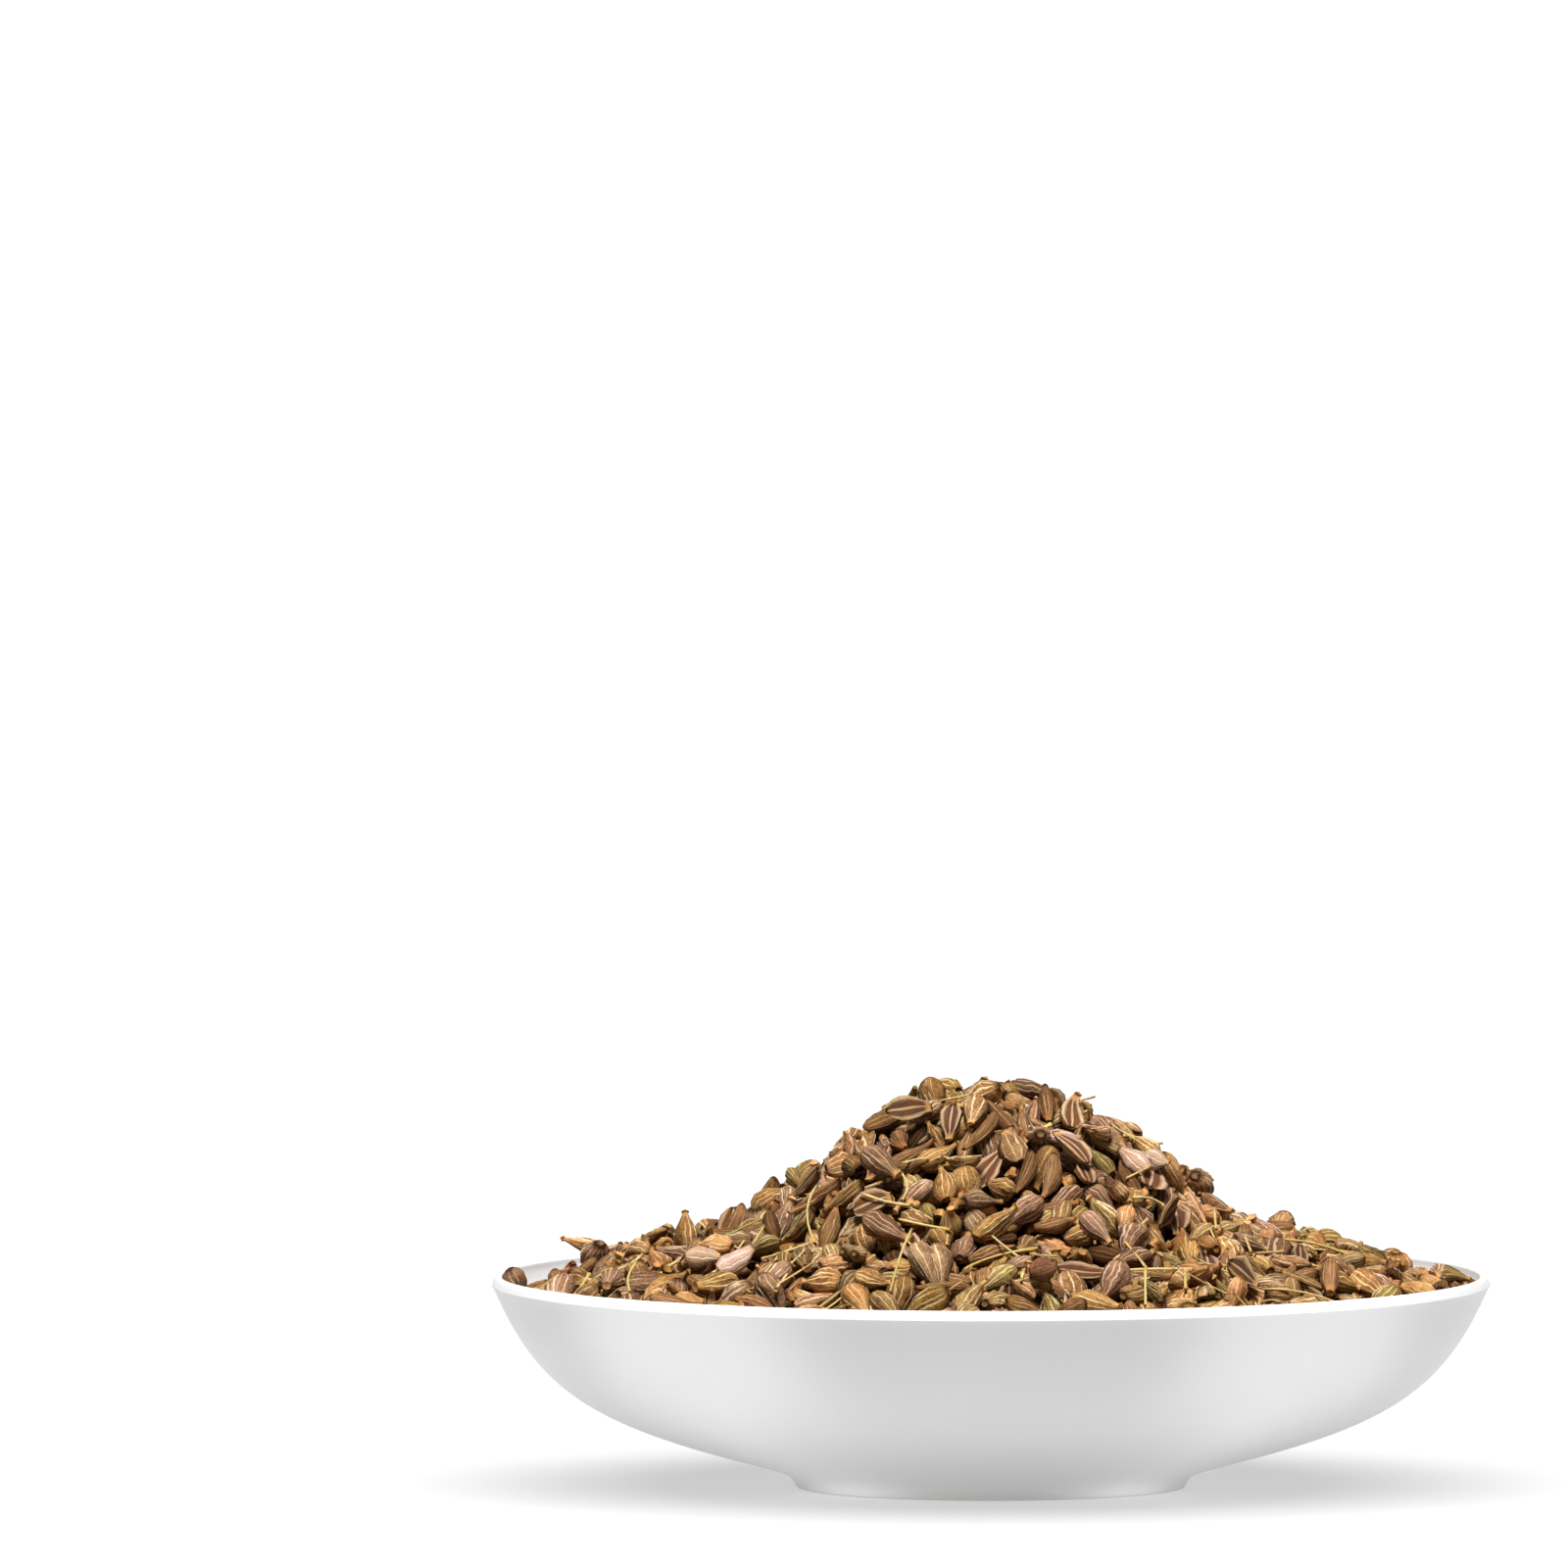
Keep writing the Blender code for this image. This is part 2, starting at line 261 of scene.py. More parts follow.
class Finish:
    """The surface of a piece, mixed on one Principled shader."""

    def __init__(self, name):
        self.material = bpy.data.materials.new(name)
        self.material.use_nodes = True
        self.tree = self.material.node_tree
        self.shader = self.tree.nodes["Principled BSDF"]

    def node(self, kind, settings, values, output=0):
        made = self.tree.nodes.new("ShaderNode" + kind)
        for name, value in settings.items():
            setattr(made, name, value)
        for key, value in values.items():
            self.feed(made.inputs[key], value)
        return Wire(self, made.outputs[output])

    def feed(self, socket, value):
        if isinstance(value, Wire):
            self.tree.links.new(value.socket, socket)
        elif socket.type == "RGBA" and len(value) == 3:
            socket.default_value = (*value, 1)
        else:
            socket.default_value = value

    def blend(self, share, first, second, way="MIX"):
        settings = {"data_type": "RGBA", "blend_type": way}
        return self.node("Mix", settings, {0: share, 6: first, 7: second}, 2)

    def grain(self, place, scale, detail=2.0, roughness=0.5):
        """Noise around 0.5."""
        values = {"Vector": place, "Scale": scale, "Detail": detail, "Roughness": roughness}
        return self.node("TexNoise", {}, values)

    def wear(self, **values):
        """Puts values or wires on the shader's sockets, whose names have _ for a space."""
        for name, value in values.items():
            self.feed(self.shader.inputs[name.replace("_", " ")], value)

    def emboss(self, height, depth):
        """Feeds a height of 0 to 1, this deep in metres, to the shader's normal."""
        self.wear(Normal=self.node("Bump", {}, {"Height": height, "Distance": depth, "Strength": 1.0}))

    def paint(self, obj):
        obj.data.materials.clear()
        obj.data.materials.append(self.material)


GLAZE_WHITE = (0.75, 0.75, 0.745)
GLAZE_SHADE = (0.73, 0.735, 0.735)
BARE_CLAY = (0.68, 0.65, 0.60)
POOLED = (0.35, 0.7)  # the part of the noise over which the glaze gets thicker and greyer
WIPED_EDGE = (0.36 * MM, 0.24 * MM)  # the heights between which the glaze gives way to clay
WIPED_WOBBLE = 0.25 * MM
GLAZE_ROUGHNESS = 0.36
CLAY_ROUGHNESS = 0.3  # how much rougher the clay is
GLAZE_RIPPLE = 0.012 * MM
glaze = Finish("clear_glaze_on_porcelain")
place = glaze.node("TexCoord", {}, {}, "Object")
height = glaze.node("SeparateXYZ", {}, {0: place}, 2)
pooling = glaze.grain(place, 55, 2).step(*POOLED)
body = glaze.blend(pooling, GLAZE_WHITE, GLAZE_SHADE)
clay_grain = glaze.grain(place, 3000, 3)
wiped = (height + WIPED_WOBBLE * clay_grain).step(*WIPED_EDGE)
glaze.wear(
    Base_Color=glaze.blend(wiped, body, BARE_CLAY),
    Roughness=GLAZE_ROUGHNESS + 0.05 * glaze.grain(place, 90, 2) + CLAY_ROUGHNESS * wiped,
    IOR=1.5,
)
glaze.emboss(glaze.grain(place, 260, 2), GLAZE_RIPPLE)
glaze.paint(dish)
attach(dish, "root")
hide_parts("dish")


# ---------------------------------------- the heart of the heap
# Under the seeds that show, the dish is full of more seed. It is one closed body here, so that
# nothing shows through from one side of the heap to the other. Its colour is painted shade, as dark
# as the gaps between seeds.
# The heap is worked out in millimetres: a lobed mound that runs out into a skirt.
SUMMIT = 40.8
MOUND_RADIUS = 24.0
MOUND_DROP = 13.5
MOUND_POWER = 1.7
SKIRT_TOP = 26.3
SKIRT_DROP = 7.0
SKIRT_POWER = 3.2
HEAP_RADIUS = 47.9
MOUND_BLEND = 1.6
LOBE_DEPTH = 0.035
LOBES = ((2, 1.0, 0.9), (5, 0.6, 2.1))  # waves round the mound: how many, how strong, their phase
SWELL = 0.5
SWELL_WAVES = 3
SWELL_PHASE = 0.4
HEART_DEPTH = 4.2
HEART_CLEARANCE = 0.3
HEART_BUMP = 0.5
HEART_WAVES = ((2.1, 0.4), (-0.3, 1.9))  # two that cross, in radians to the millimetre
BARE_SPOTS = ((-45.5, 9.0), (45.5, 9.5))  # where seed lies low and the glaze shows behind it
BARE_REACH = 5.5
BARE_INSET = 0.13  # how far the heart is drawn in there, as a share of its radius


def heap_height(x, y):
    """Height of the heap's mean surface over points of the dish, all in millimetres."""
    radius = np.hypot(x, y)
    azimuth = np.arctan2(y, x)
    lobes = sum(depth * np.sin(waves * azimuth + phase) for waves, depth, phase in LOBES)
    reach = radius * (1 + LOBE_DEPTH * lobes) / MOUND_RADIUS
    mound = SUMMIT - MOUND_DROP * reach**MOUND_POWER
    skirt = SKIRT_TOP - SKIRT_DROP * (radius / HEAP_RADIUS) ** SKIRT_POWER
    around = np.sin(SWELL_WAVES * azimuth + SWELL_PHASE)
    swell = SWELL * around * np.sin(np.pi * radius / HEAP_RADIUS)
    return (mound + skirt + np.hypot(mound - skirt, MOUND_BLEND)) / 2 + swell


wall_radii = np.array([p.x for p in reversed(inside())]) / MM
wall_heights = np.array([p.y for p in reversed(inside())]) / MM


def wall_height(radius):
    """Height of the glaze inside the dish, in millimetres."""
    return np.interp(radius, wall_radii, wall_heights)


def nearness(spot, x, y):
    """1 at a bare spot, and less and less away from it."""
    away = np.hypot(x - spot[0], y - spot[1]) / BARE_REACH
    return np.exp(-(away**2))


def heart_height(x, y):
    first, second = (np.sin(along_x * x + along_y * y) for along_x, along_y in HEART_WAVES)
    top = heap_height(x, y) - HEART_DEPTH + HEART_BUMP * first * second
    return np.maximum(top, wall_height(np.hypot(x, y)) + 2 * HEART_CLEARANCE)


HEART_RADIUS = 46.6
HEART_PEAK = 0.4  # the radius of the last ring
HEART_RINGS = 44
FLAT_TOP = 60.0  # where the top is drawn flat, before it takes the heap's shape
clearance = Vector((0, HEART_CLEARANCE)) * MM
heart_under = [p + clearance for p in reversed(inside()) if p.x < HEART_RADIUS * MM]
heart_radii = np.linspace(HEART_RADIUS, HEART_PEAK, HEART_RINGS)
heart_over = [Vector((radius, FLAT_TOP)) * MM for radius in heart_radii]
heart = raise_from_disc("heap_heart", [*heart_under, *heart_over])
for vertex in heart.data.vertices:
    x, y, z = vertex.co / MM
    to_edge = HEART_RADIUS / math.hypot(x, y)
    bare = max(nearness(spot, x * to_edge, y * to_edge) for spot in BARE_SPOTS)
    x, y = x * (1 - BARE_INSET * bare), y * (1 - BARE_INSET * bare)
    under = wall_height(math.hypot(x, y)) + HEART_CLEARANCE
    vertex.co = Vector((x, y, heart_height(x, y) if z > FLAT_TOP - 1 else under)) * MM
bpy.ops.object.shade_smooth()

# painted shade: near-black browns that stand for the shade deep in the heap, not the colour of seed
HEART_LUMP_PAINTED_SHADE = (0.050, 0.013, 0.002)
HEART_GAP_PAINTED_SHADE = (0.012, 0.003, 0.0005)
LUMP_SCALE = 420.0
LUMP_EDGE = (0.2, 0.75)
LUMP_DEPTH = 0.9 * MM
depths = Finish("seed_in_painted_shade")
place = depths.node("TexCoord", {}, {}, "Object")
lumps = depths.node("TexVoronoi", {}, {"Vector": place, "Scale": LUMP_SCALE})
shade = depths.grain(place, 900, 4)
depths.wear(
    Base_Color=depths.blend(lumps.step(*LUMP_EDGE), HEART_LUMP_PAINTED_SHADE, HEART_GAP_PAINTED_SHADE),
    Roughness=0.75 + 0.2 * shade,
    Specular_IOR_Level=0.05,
)
depths.emboss(1 - lumps * 0.8 + 0.2 * shade, LUMP_DEPTH)
depths.paint(heart)
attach(heart, "root")
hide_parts("seed_heap")


# ---------------------------------------- how the seed lies
# Loose seed is poured into the dish until it reaches the heap's surface. Each seed drops onto what
# is already there, its ends following the slope, and stays where it comes lowest. Millimetres.
CELL = 0.25
FIELD_REACH = 51.0
SEED_REACH = 3.6  # half the side of the square that a seed is tried over
BRIM_RADIUS = 48.9
POUR_RADIUS = 48.3
MOST_REACH = 49.7
MOST_HEIGHT = 41.55
SPOTS = 48  # how many places are looked at for a seed
TRIALS = 8  # in how many of them, those with the most room, it is tried
FAILS = 220  # how many seeds in a row must find no room before the dish is full
BEARING = (0.36, 0.40)  # where its ends and sides bear, as shares of its length and width
STEEPEST = math.radians(58)
MOST_ROLL = math.radians(45)
RESTLESS = math.radians(24)  # how far a seed's lie strays from the slope that it lies on
ON_END = 0.30
ON_END_PITCH = (math.radians(25), math.radians(80))
PROUD = 0.45
PROUD_SPREAD = 0.42
MOST_PROUD = 1.3
SETTLE_STEP = 0.5
SETTLE_TURN = math.radians(16)
SNUG = 0.49  # the half size that a seed takes up among others, as a share of its size
SIZE_SPREAD = (0.16, 0.16, 0.13)
MOST_SPREAD = 0.34
CLUMP = 0.85  # how high the seed heaps up here and there, and how low it lies between
CLUMP_LENGTHS = (6.0, 14.0)
CLUMP_WAVES = 12
BARE_DEPTH = 3.2
# seeds seen less than this from above are made as seeds underneath, in painted shade colours
SHOWING = 0.28  # the share of a seed seen from above, past which it is made in full

# kind of seed: its share of the heap, then its mean length, width and thickness
KINDS = {
    "mauve_seed": (0.27, 5.0, 2.7, 2.3),
    "golden_seed": (0.26, 4.95, 2.65, 2.25),
    "olive_seed": (0.09, 5.0, 2.6, 2.25),
    "tan_seed": (0.12, 4.7, 2.5, 2.2),
    "slim_seed": (0.09, 5.5, 1.8, 1.6),
    "half_seed": (0.11, 4.9, 2.5, 1.3),
    "split_seed": (0.06, 5.1, 3.5, 2.0),
    "broken_seed": (0.04, 2.9, 2.3, 2.0),
}
# what drops into the gaps afterwards: how many, then its mean length, width and thickness
LATECOMERS = {
    "round_seed": (9, 2.1, 1.95, 1.85),
    "crumbs": (320, 1.5, 1.15, 0.95),
    "chaff": (160, 1.9, 1.1, 0.35),
    "empty_husk": (12, 3.8, 2.2, 0.9),
}
kind_sizes = {name: kind[1:] for name, kind in {**KINDS, **LATECOMERS}.items()}
kind_names = list(kind_sizes)
rng = np.random.default_rng(23)
cells = np.arange(-FIELD_REACH, FIELD_REACH + CELL / 2, CELL)
field_x, field_y = np.meshgrid(cells, cells)
field_radius = np.hypot(field_x, field_y)
clumps = np.zeros_like(field_x)
for _ in range(CLUMP_WAVES):
    way, phase = rng.uniform(0, 2 * math.pi, 2)
    across_waves = field_x * math.cos(way) + field_y * math.sin(way)
    clumps += np.sin(2 * math.pi * across_waves / rng.uniform(*CLUMP_LENGTHS) + phase)
target = heap_height(field_x, field_y) + CLUMP * clumps / math.sqrt(CLUMP_WAVES)
for spot in BARE_SPOTS:
    target -= BARE_DEPTH * nearness(spot, field_x, field_y)
surface = np.maximum(heart_height(field_x, field_y), wall_height(field_radius))
surface[field_radius > BRIM_RADIUS] = DISH_HEIGHT / MM
surface[field_radius > RIM_RADIUS / MM] = 0
on_top = np.full(surface.shape, -1)
window = np.arange(-round(SEED_REACH / CELL), round(SEED_REACH / CELL) + 1)
lying = []


def cell_of(value):
    return np.clip(np.rint((value + FIELD_REACH) / CELL).astype(int), 0, len(cells) - 1)


def surface_at(x, y):
    return surface[cell_of(y), cell_of(x)]


def turned(heading, pitch, roll):
    """The directions of a seed's length, width and thickness, as the columns of (n, 3, 3)."""
    ahead, aside = np.cos(heading), np.sin(heading)
    length = np.stack([ahead * np.cos(pitch), aside * np.cos(pitch), np.sin(pitch)], -1)
    level = np.stack([-aside, ahead, np.zeros_like(ahead)], -1)
    upright = np.cross(length, level)
    width = np.cos(roll)[:, None] * level + np.sin(roll)[:, None] * upright
    return np.stack([length, width, np.cross(length, width)], -1)


def come_to_rest(x, y, turns, halves):
    """Drops an egg of these half sizes straight down at each (x, y), turned each way. Gives the
    heights of their middles and, over the cells round each, its upper side above its middle."""
    rows = np.clip(cell_of(y)[:, None, None] + window[:, None], 0, len(cells) - 1)
    columns = np.clip(cell_of(x)[:, None, None] + window, 0, len(cells) - 1)
    dx = cells[columns] - x[:, None, None]
    dy = cells[rows] - y[:, None, None]
    form = np.einsum("nij,j,nlj->nil", turns, halves**-2.0, turns)[..., None, None]
    lean = (form[:, 0, 2] * dx + form[:, 1, 2] * dy) / form[:, 2, 2]
    flat = form[:, 0, 0] * dx**2 + 2 * form[:, 0, 1] * dx * dy + form[:, 1, 1] * dy**2 - 1
    inside_egg = lean**2 - flat / form[:, 2, 2]
    half = np.sqrt(np.maximum(inside_egg, 0))
    gap = np.where(inside_egg > 0, surface[rows, columns] + lean + half, -np.inf)
    over = np.where(inside_egg > 0, half - lean, -np.inf)
    return gap.max((1, 2)), rows, columns, over


def lie_of(x, y, heading, size, restless):
    """How a seed on the surface pitches and rolls, from the heights under its ends and sides."""
    length, width = BEARING[0] * size[0], BEARING[1] * size[1]
    ahead, aside = np.cos(heading), np.sin(heading)
    rise = surface_at(x + length * ahead, y + length * aside)
    rise -= surface_at(x - length * ahead, y - length * aside)
    tip = surface_at(x - width * aside, y + width * ahead)
    tip -= surface_at(x + width * aside, y - width * ahead)
    pitch = np.clip(np.arctan(rise / (2 * length)), -STEEPEST, STEEPEST) + restless[0]
    roll = np.clip(np.arctan(tip / (2 * width)), -MOST_ROLL, MOST_ROLL) + restless[1]
    return pitch, roll


def settle(x, y, heading, size, restless, end_up):
    """Of some places and headings for one seed, picks the one where it lies lowest in the heap."""
    pitch, roll = lie_of(x, y, heading, size, restless)
    if end_up:
        pitch = np.full_like(pitch, end_up)
    turns = turned(heading, pitch, roll)
    z, rows, columns, over = come_to_rest(x, y, turns, SNUG * size)
    top = z + over.max((1, 2))
    height = z + (over - target[rows, columns]).max((1, 2))
    reach = np.hypot(x, y) + 0.5 * size[0] * np.hypot(turns[:, 0, 0], turns[:, 1, 0])
    height = np.where((reach > MOST_REACH) | (top > MOST_HEIGHT), np.inf, height)
    best = int(np.argmin(height))
    lie = (x[best], y[best], z[best], turns[best], rows[best], columns[best], over[best])
    return height[best], lie


def lay_down(lie, kind, size):
    """Adds a seed to the heap, and its upper side to the surface."""
    z, rows, columns, over = lie[2], *lie[4:]
    patch = np.broadcast_arrays(rows, columns)
    higher = z + over > surface[tuple(patch)]
    at = tuple(index[higher] for index in patch)
    surface[at] = (z + over)[higher]
    on_top[at] = len(lying)
    lying.append((kind, np.array(lie[:3]), lie[3], size))


def pour(kind):
    """Drops one more seed where there is room. Gives False if it would stand too high."""
    spread = 1 + np.clip(rng.normal(0, SIZE_SPREAD), -MOST_SPREAD, MOST_SPREAD)
    size = np.array(kind_sizes[kind_names[kind]]) * spread
    restless = rng.normal(0, RESTLESS, 2)
    end_up = 0
    if rng.random() < ON_END:
        end_up = rng.choice([-1, 1]) * rng.uniform(*ON_END_PITCH)
    radius = POUR_RADIUS * np.sqrt(rng.random(SPOTS))
    azimuth = rng.uniform(0, 2 * math.pi, SPOTS)
    x, y = radius * np.cos(azimuth), radius * np.sin(azimuth)
    room = target[cell_of(y), cell_of(x)] - surface_at(x, y)
    roomiest = np.argsort(room)[-TRIALS:]
    x, y = x[roomiest], y[roomiest]
    heading = rng.uniform(0, 2 * math.pi)
    height, lie = settle(x, y, np.full(TRIALS, heading), size, restless, end_up)
    x = lie[0] + rng.normal(0, SETTLE_STEP, TRIALS)
    y = lie[1] + rng.normal(0, SETTLE_STEP, TRIALS)
    ways = heading + rng.normal(0, SETTLE_TURN, TRIALS)
    settled_height, settled = settle(x, y, ways, size, restless, end_up)
    if settled_height < height:
        height, lie = settled_height, settled
    if height > min(PROUD + PROUD_SPREAD * rng.normal(), MOST_PROUD):
        return False
    lay_down(lie, kind, size)
    return True


shares = np.array([kind[0] for kind in KINDS.values()])
fails = 0
while fails < FAILS:
    poured = pour(int(rng.choice(len(KINDS), p=shares / shares.sum())))
    fails = 0 if poured else fails + 1


SEED_OVER = 0.6  # how far the middle of a seed on top lies over the heap's mean surface
LEANS_BACK = 35  # degrees that a seed on the front leans back from upright, as the slope does
FRONT_TO_BACK = np.linspace(-46, 5, 600)  # from the edge of the heap nearest the camera past its top


def in_millimetres(spots):
    """Places in the picture, as how far right and how high they are from the middle of the foot."""
    return (np.array(spots) - FOOT_IN_PICTURE) * pixel / MM / (1, -math.cos(LOOKS_DOWN))


def seen(x, y, tip, roll=0, lean=LEANS_BACK, right=0.0, back=0.0):
    """The place and angles of a seed that is given as it is seen: where its middle is in the
    picture, and at what angle its tip points there. Right and back move it, in millimetres."""
    across, height = in_millimetres((x, y))
    heights = heap_height(across, FRONT_TO_BACK) + SEED_OVER + math.tan(LOOKS_DOWN) * FRONT_TO_BACK
    away = FRONT_TO_BACK[np.argmax(heights >= height)]
    tip, lean = math.radians(tip), math.radians(lean)
    heading = math.atan2(math.sin(tip) * math.sin(lean), math.cos(tip))
    pitch = math.asin(math.sin(tip) * math.cos(lean))
    place = (round(across + right, 1), round(away + back, 1))
    return place, (round(math.degrees(heading)), round(math.degrees(pitch)), roll)


# seeds that catch the eye on the brim, in the edge of the heap, on its front and at its peak, and
# the palest husks: their kind, place, the heading, pitch and roll of their tip in degrees, size, and
# how deep they are stuck in
LAID_SEEDS = (
    ("mauve_seed", (-47.3, 0.2), (12, -66, 80), (4.5, 2.3, 2.0), 0.4),
    ("tan_seed", (-40.8, 3.5), (172, 16, 0), (4.8, 1.7, 1.5), 0.5),
    ("tan_seed", (40.6, 5.0), (85, -70, 0), (4.6, 3.0, 2.1), 2.3),
    ("olive_seed", (46.0, -1.5), (-8, -8, 20), (4.6, 1.7, 1.6), 1.7),
    ("tan_seed", (42.8, -16.5), (160, 22, 30), (4.4, 2.4, 2.2), 0.9),
    ("olive_seed", (39.3, -22.5), (215, -48, 0), (4.7, 3.2, 2.5), 1.3),
    ("golden_seed", (-30.5, 6.0), (95, 68, 15), (4.7, 2.1, 1.9), 1.6),
    ("half_seed", *seen(927, 1142, tip=10, roll=60), (4.8, 2.6, 1.3), 0.7),
    ("mauve_seed", *seen(899, 1203, tip=-40), (5.0, 2.9, 2.4), 0.9),
    ("mauve_seed", *seen(1044, 1226, tip=218), (5.2, 2.7, 2.4), 0.9),
    ("mauve_seed", *seen(1120, 1262, tip=-50), (4.8, 2.6, 2.4), 0.9),
    ("mauve_seed", *seen(1147, 1268, tip=250, right=0.6), (4.4, 3.0, 2.4), 1.0),
    ("slim_seed", *seen(1076, 1251, tip=15), (4.6, 1.6, 1.5), 0.3),
    ("golden_seed", *seen(1017, 1261, tip=40), (5.8, 2.5, 2.3), 0.9),
    ("mauve_seed", *seen(906, 1259, tip=-30), (6.0, 2.6, 2.4), 0.8),
    ("half_seed", *seen(1095, 1295, tip=-70, roll=180, lean=30, right=0.2), (4.9, 3.2, 1.4), 1.2),
    ("split_seed", *seen(952, 1297, tip=-75, lean=30), (6.2, 4.3, 2.4), 1.6),
    ("olive_seed", *seen(1017, 1296, tip=215), (5.0, 2.4, 2.2), 0.7),
    ("round_seed", *seen(1068, 1306, tip=0, right=-0.4), (2.9, 2.7, 2.6), 0.5),
    ("mauve_seed", *seen(1127, 1312, tip=-115, lean=30, right=0.8), (5.0, 3.2, 2.5), 1.4),
    ("golden_seed", *seen(952, 1117, tip=-80, back=-0.4), (4.4, 2.6, 2.3), 0.9),
    ("empty_husk", *seen(717, 1291, tip=0, roll=60), (3.8, 2.3, 1.0), 0.2),
    ("empty_husk", *seen(752, 1287, tip=33, roll=50), (4.6, 2.5, 1.0), 0.1),
    ("empty_husk", *seen(1087, 1150, tip=-5, roll=50), (3.6, 1.8, 0.8), 0.1),
    ("empty_husk", *seen(1156, 1178, tip=135, roll=-50, back=-0.1), (4.0, 2.7, 1.0), 0.2),
    ("empty_husk", *seen(1180, 1189, tip=-30, roll=50), (2.9, 2.3, 1.0), 0.2),
)
first_laid = len(lying)
for name, (x, y), angles, size, depth in LAID_SEEDS:
    way = turned(*(np.radians([angle]) for angle in angles))
    z, rows, columns, over = come_to_rest(np.array([x]), np.array([y]), way, SNUG * np.array(size))
    middle = min(z[0] - depth, MOST_HEIGHT - over[0].max())
    lie = (x, y, middle, way[0], rows[0], columns[0], over[0] - depth)
    lay_down(lie, kind_names.index(name), np.array(size))
last_laid = len(lying)
for name, kind in LATECOMERS.items():
    for _ in range(kind[0]):
        pour(kind_names.index(name))

kinds = np.array([seed[0] for seed in lying])
middles = np.array([seed[1] for seed in lying])
turns = np.array([seed[2] for seed in lying])
sizes = np.array([seed[3] for seed in lying])
seen_cells = np.bincount(on_top[on_top >= 0], minlength=len(lying))
halves = SNUG * sizes
sections = halves[:, (1, 2, 0)] * halves[:, (2, 0, 1)]  # across its length, width and thickness
footprints = math.pi * np.linalg.norm(sections * turns[:, 2], axis=1) / CELL**2
showing = seen_cells / footprints > SHOWING
showing[first_laid:last_laid] = True
facing = rng.choice([-1.0, 1.0], len(lying))  # which way round each lies: 1 has its tip ahead
facing[first_laid:last_laid] = 1.0


def those(name, also_hidden=False):
    """The numbers of the seeds of a kind that show."""
    return np.flatnonzero((kinds == kind_names.index(name)) & (showing | also_hidden))


# ---------------------------------------- whole seeds
# Anise fruit are plump pears of two halves grown together, with thin pale ribs down a dull husk
# that is frosted with short hairs. They narrow to a neck, which ends in the stump of the flower.
RIB_COLUMNS = 28
WHOLE_OUTLINE = (  # along the seed from its broad end, and the share of its width there
    (0.0, 0.0), (0.03, 0.37), (0.11, 0.75), (0.26, 1.0), (0.42, 0.99), (0.57, 0.83),
    (0.70, 0.60), (0.81, 0.38), (0.89, 0.26), (0.945, 0.37), (1.0, 0.0),
)
# the skin's relief, in half widths
RIB_HEIGHT = 0.085
SEAM_DEPTH = 0.10
RIB_SPREAD = 0.02
DRYNESS = (0.6, 1.7)  # the drier the seed, the deeper its furrows
# how a seed differs from the next: in half widths, and in radians for what turns round it
FULLER = (0.13, 0.15)  # how much nearer its tip or its broad end it is widest
RING_SPREAD = 0.045
NECK = (0.5, 0.35)  # where along the seed the neck begins, and how far on it is all neck
NECK_SPREAD = 0.2
TWIST = 0.25
TWIST_STEP = 0.05  # and how unsteady it is from ring to ring
WANDER_STEP = 0.028  # how the ribs stray from ring to ring
DENT_DEPTH = 0.065
SKIN_SPREAD = 0.026  # how uneven the skin is from point to point
NOD = 3.0
NOD_START = 0.7
END_RELIEF = 0.02  # how near the very ends the relief is read, as it runs out there
BOW_LEVEL = 0.4  # a bow is level at this share of its rise, so that the seed stays in its place
STRIPS = (4, 16)  # how many strips of husk lie across and up a kind's UV map, each its own tint
STRIP_MARGIN = 0.02
chance = np.random.default_rng(5)


def rib_relief(columns, count):
    """How far a whole seed's skin stands out round it: ribs, and a seam between its halves."""
    around = np.arange(columns)
    ribs = np.where(around % 2 == 0, RIB_HEIGHT, -RIB_HEIGHT)
    seam = np.where(around % (columns // 2) == columns // 4, -SEAM_DEPTH, 0.0)
    dryness = chance.uniform(*DRYNESS, (count, 1, 1))
    return dryness * ribs + seam + chance.normal(0, RIB_SPREAD, (count, 1, columns))


def round_section(angles):
    return np.cos(angles), np.sin(angles)


def seed_points(outline, halves, relief, bow, section=round_section, uneven=1.0):
    """Points of some seeds, (seed, ring, column, 3): each along x from its broad end to its tip."""
    count, columns = relief.shape[0], relief.shape[2]
    along, width = np.array(outline).T
    ends = np.sin(np.pi * np.clip(along, END_RELIEF, 1 - END_RELIEF))[:, None]
    fuller = chance.uniform(1 - FULLER[0] * uneven, 1 + FULLER[1] * uneven, (count, 1, 1))
    x = 2 * along[:, None] ** fuller - 1
    width = width * (1 + uneven * chance.normal(0, RING_SPREAD, (count, len(along))))
    neck = np.clip((along - NECK[0]) / NECK[1], 0, 1)
    width = width * (1 + NECK_SPREAD * uneven * neck * chance.normal(0, 1, (count, 1)))
    twist = uneven * chance.normal(0, TWIST, (count, 1)) * along
    twist += uneven * TWIST_STEP * np.cumsum(chance.normal(0, 1, (count, len(along))), 1)
    wander = WANDER_STEP * uneven * np.cumsum(chance.normal(0, 1, (count, len(along), columns)), 1)
    angles = 2 * np.pi * np.arange(columns) / columns
    dent = chance.uniform(0, 2 * np.pi, (count, 1, 1))
    dents = DENT_DEPTH * uneven * np.sin(3 * angles + dent + 5 * along[:, None])
    rough = uneven * chance.normal(0, SKIN_SPREAD, (count, len(along), columns))
    skin = width[..., None] * (1 + ends**0.6 * (relief + dents + rough))
    if section is round_section:
        angles = angles + wander
    y, z = section(angles)
    y, z = skin * y, skin * z
    y, z = (
        y * np.cos(twist)[..., None] - z * np.sin(twist)[..., None],
        y * np.sin(twist)[..., None] + z * np.cos(twist)[..., None],
    )
    nod = uneven * chance.normal(0, NOD, (2, count, 1, 1))
    nod = nod * np.clip(along - NOD_START, 0, None)[:, None] ** 2
    y = y + nod[0]
    z = z + nod[1] + bow[:, None, None] * ((2 * along - 1) ** 2 - BOW_LEVEL)[:, None]
    points = np.stack(np.broadcast_arrays(x, y, z), -1)
    return points * halves[:, None, None, :]


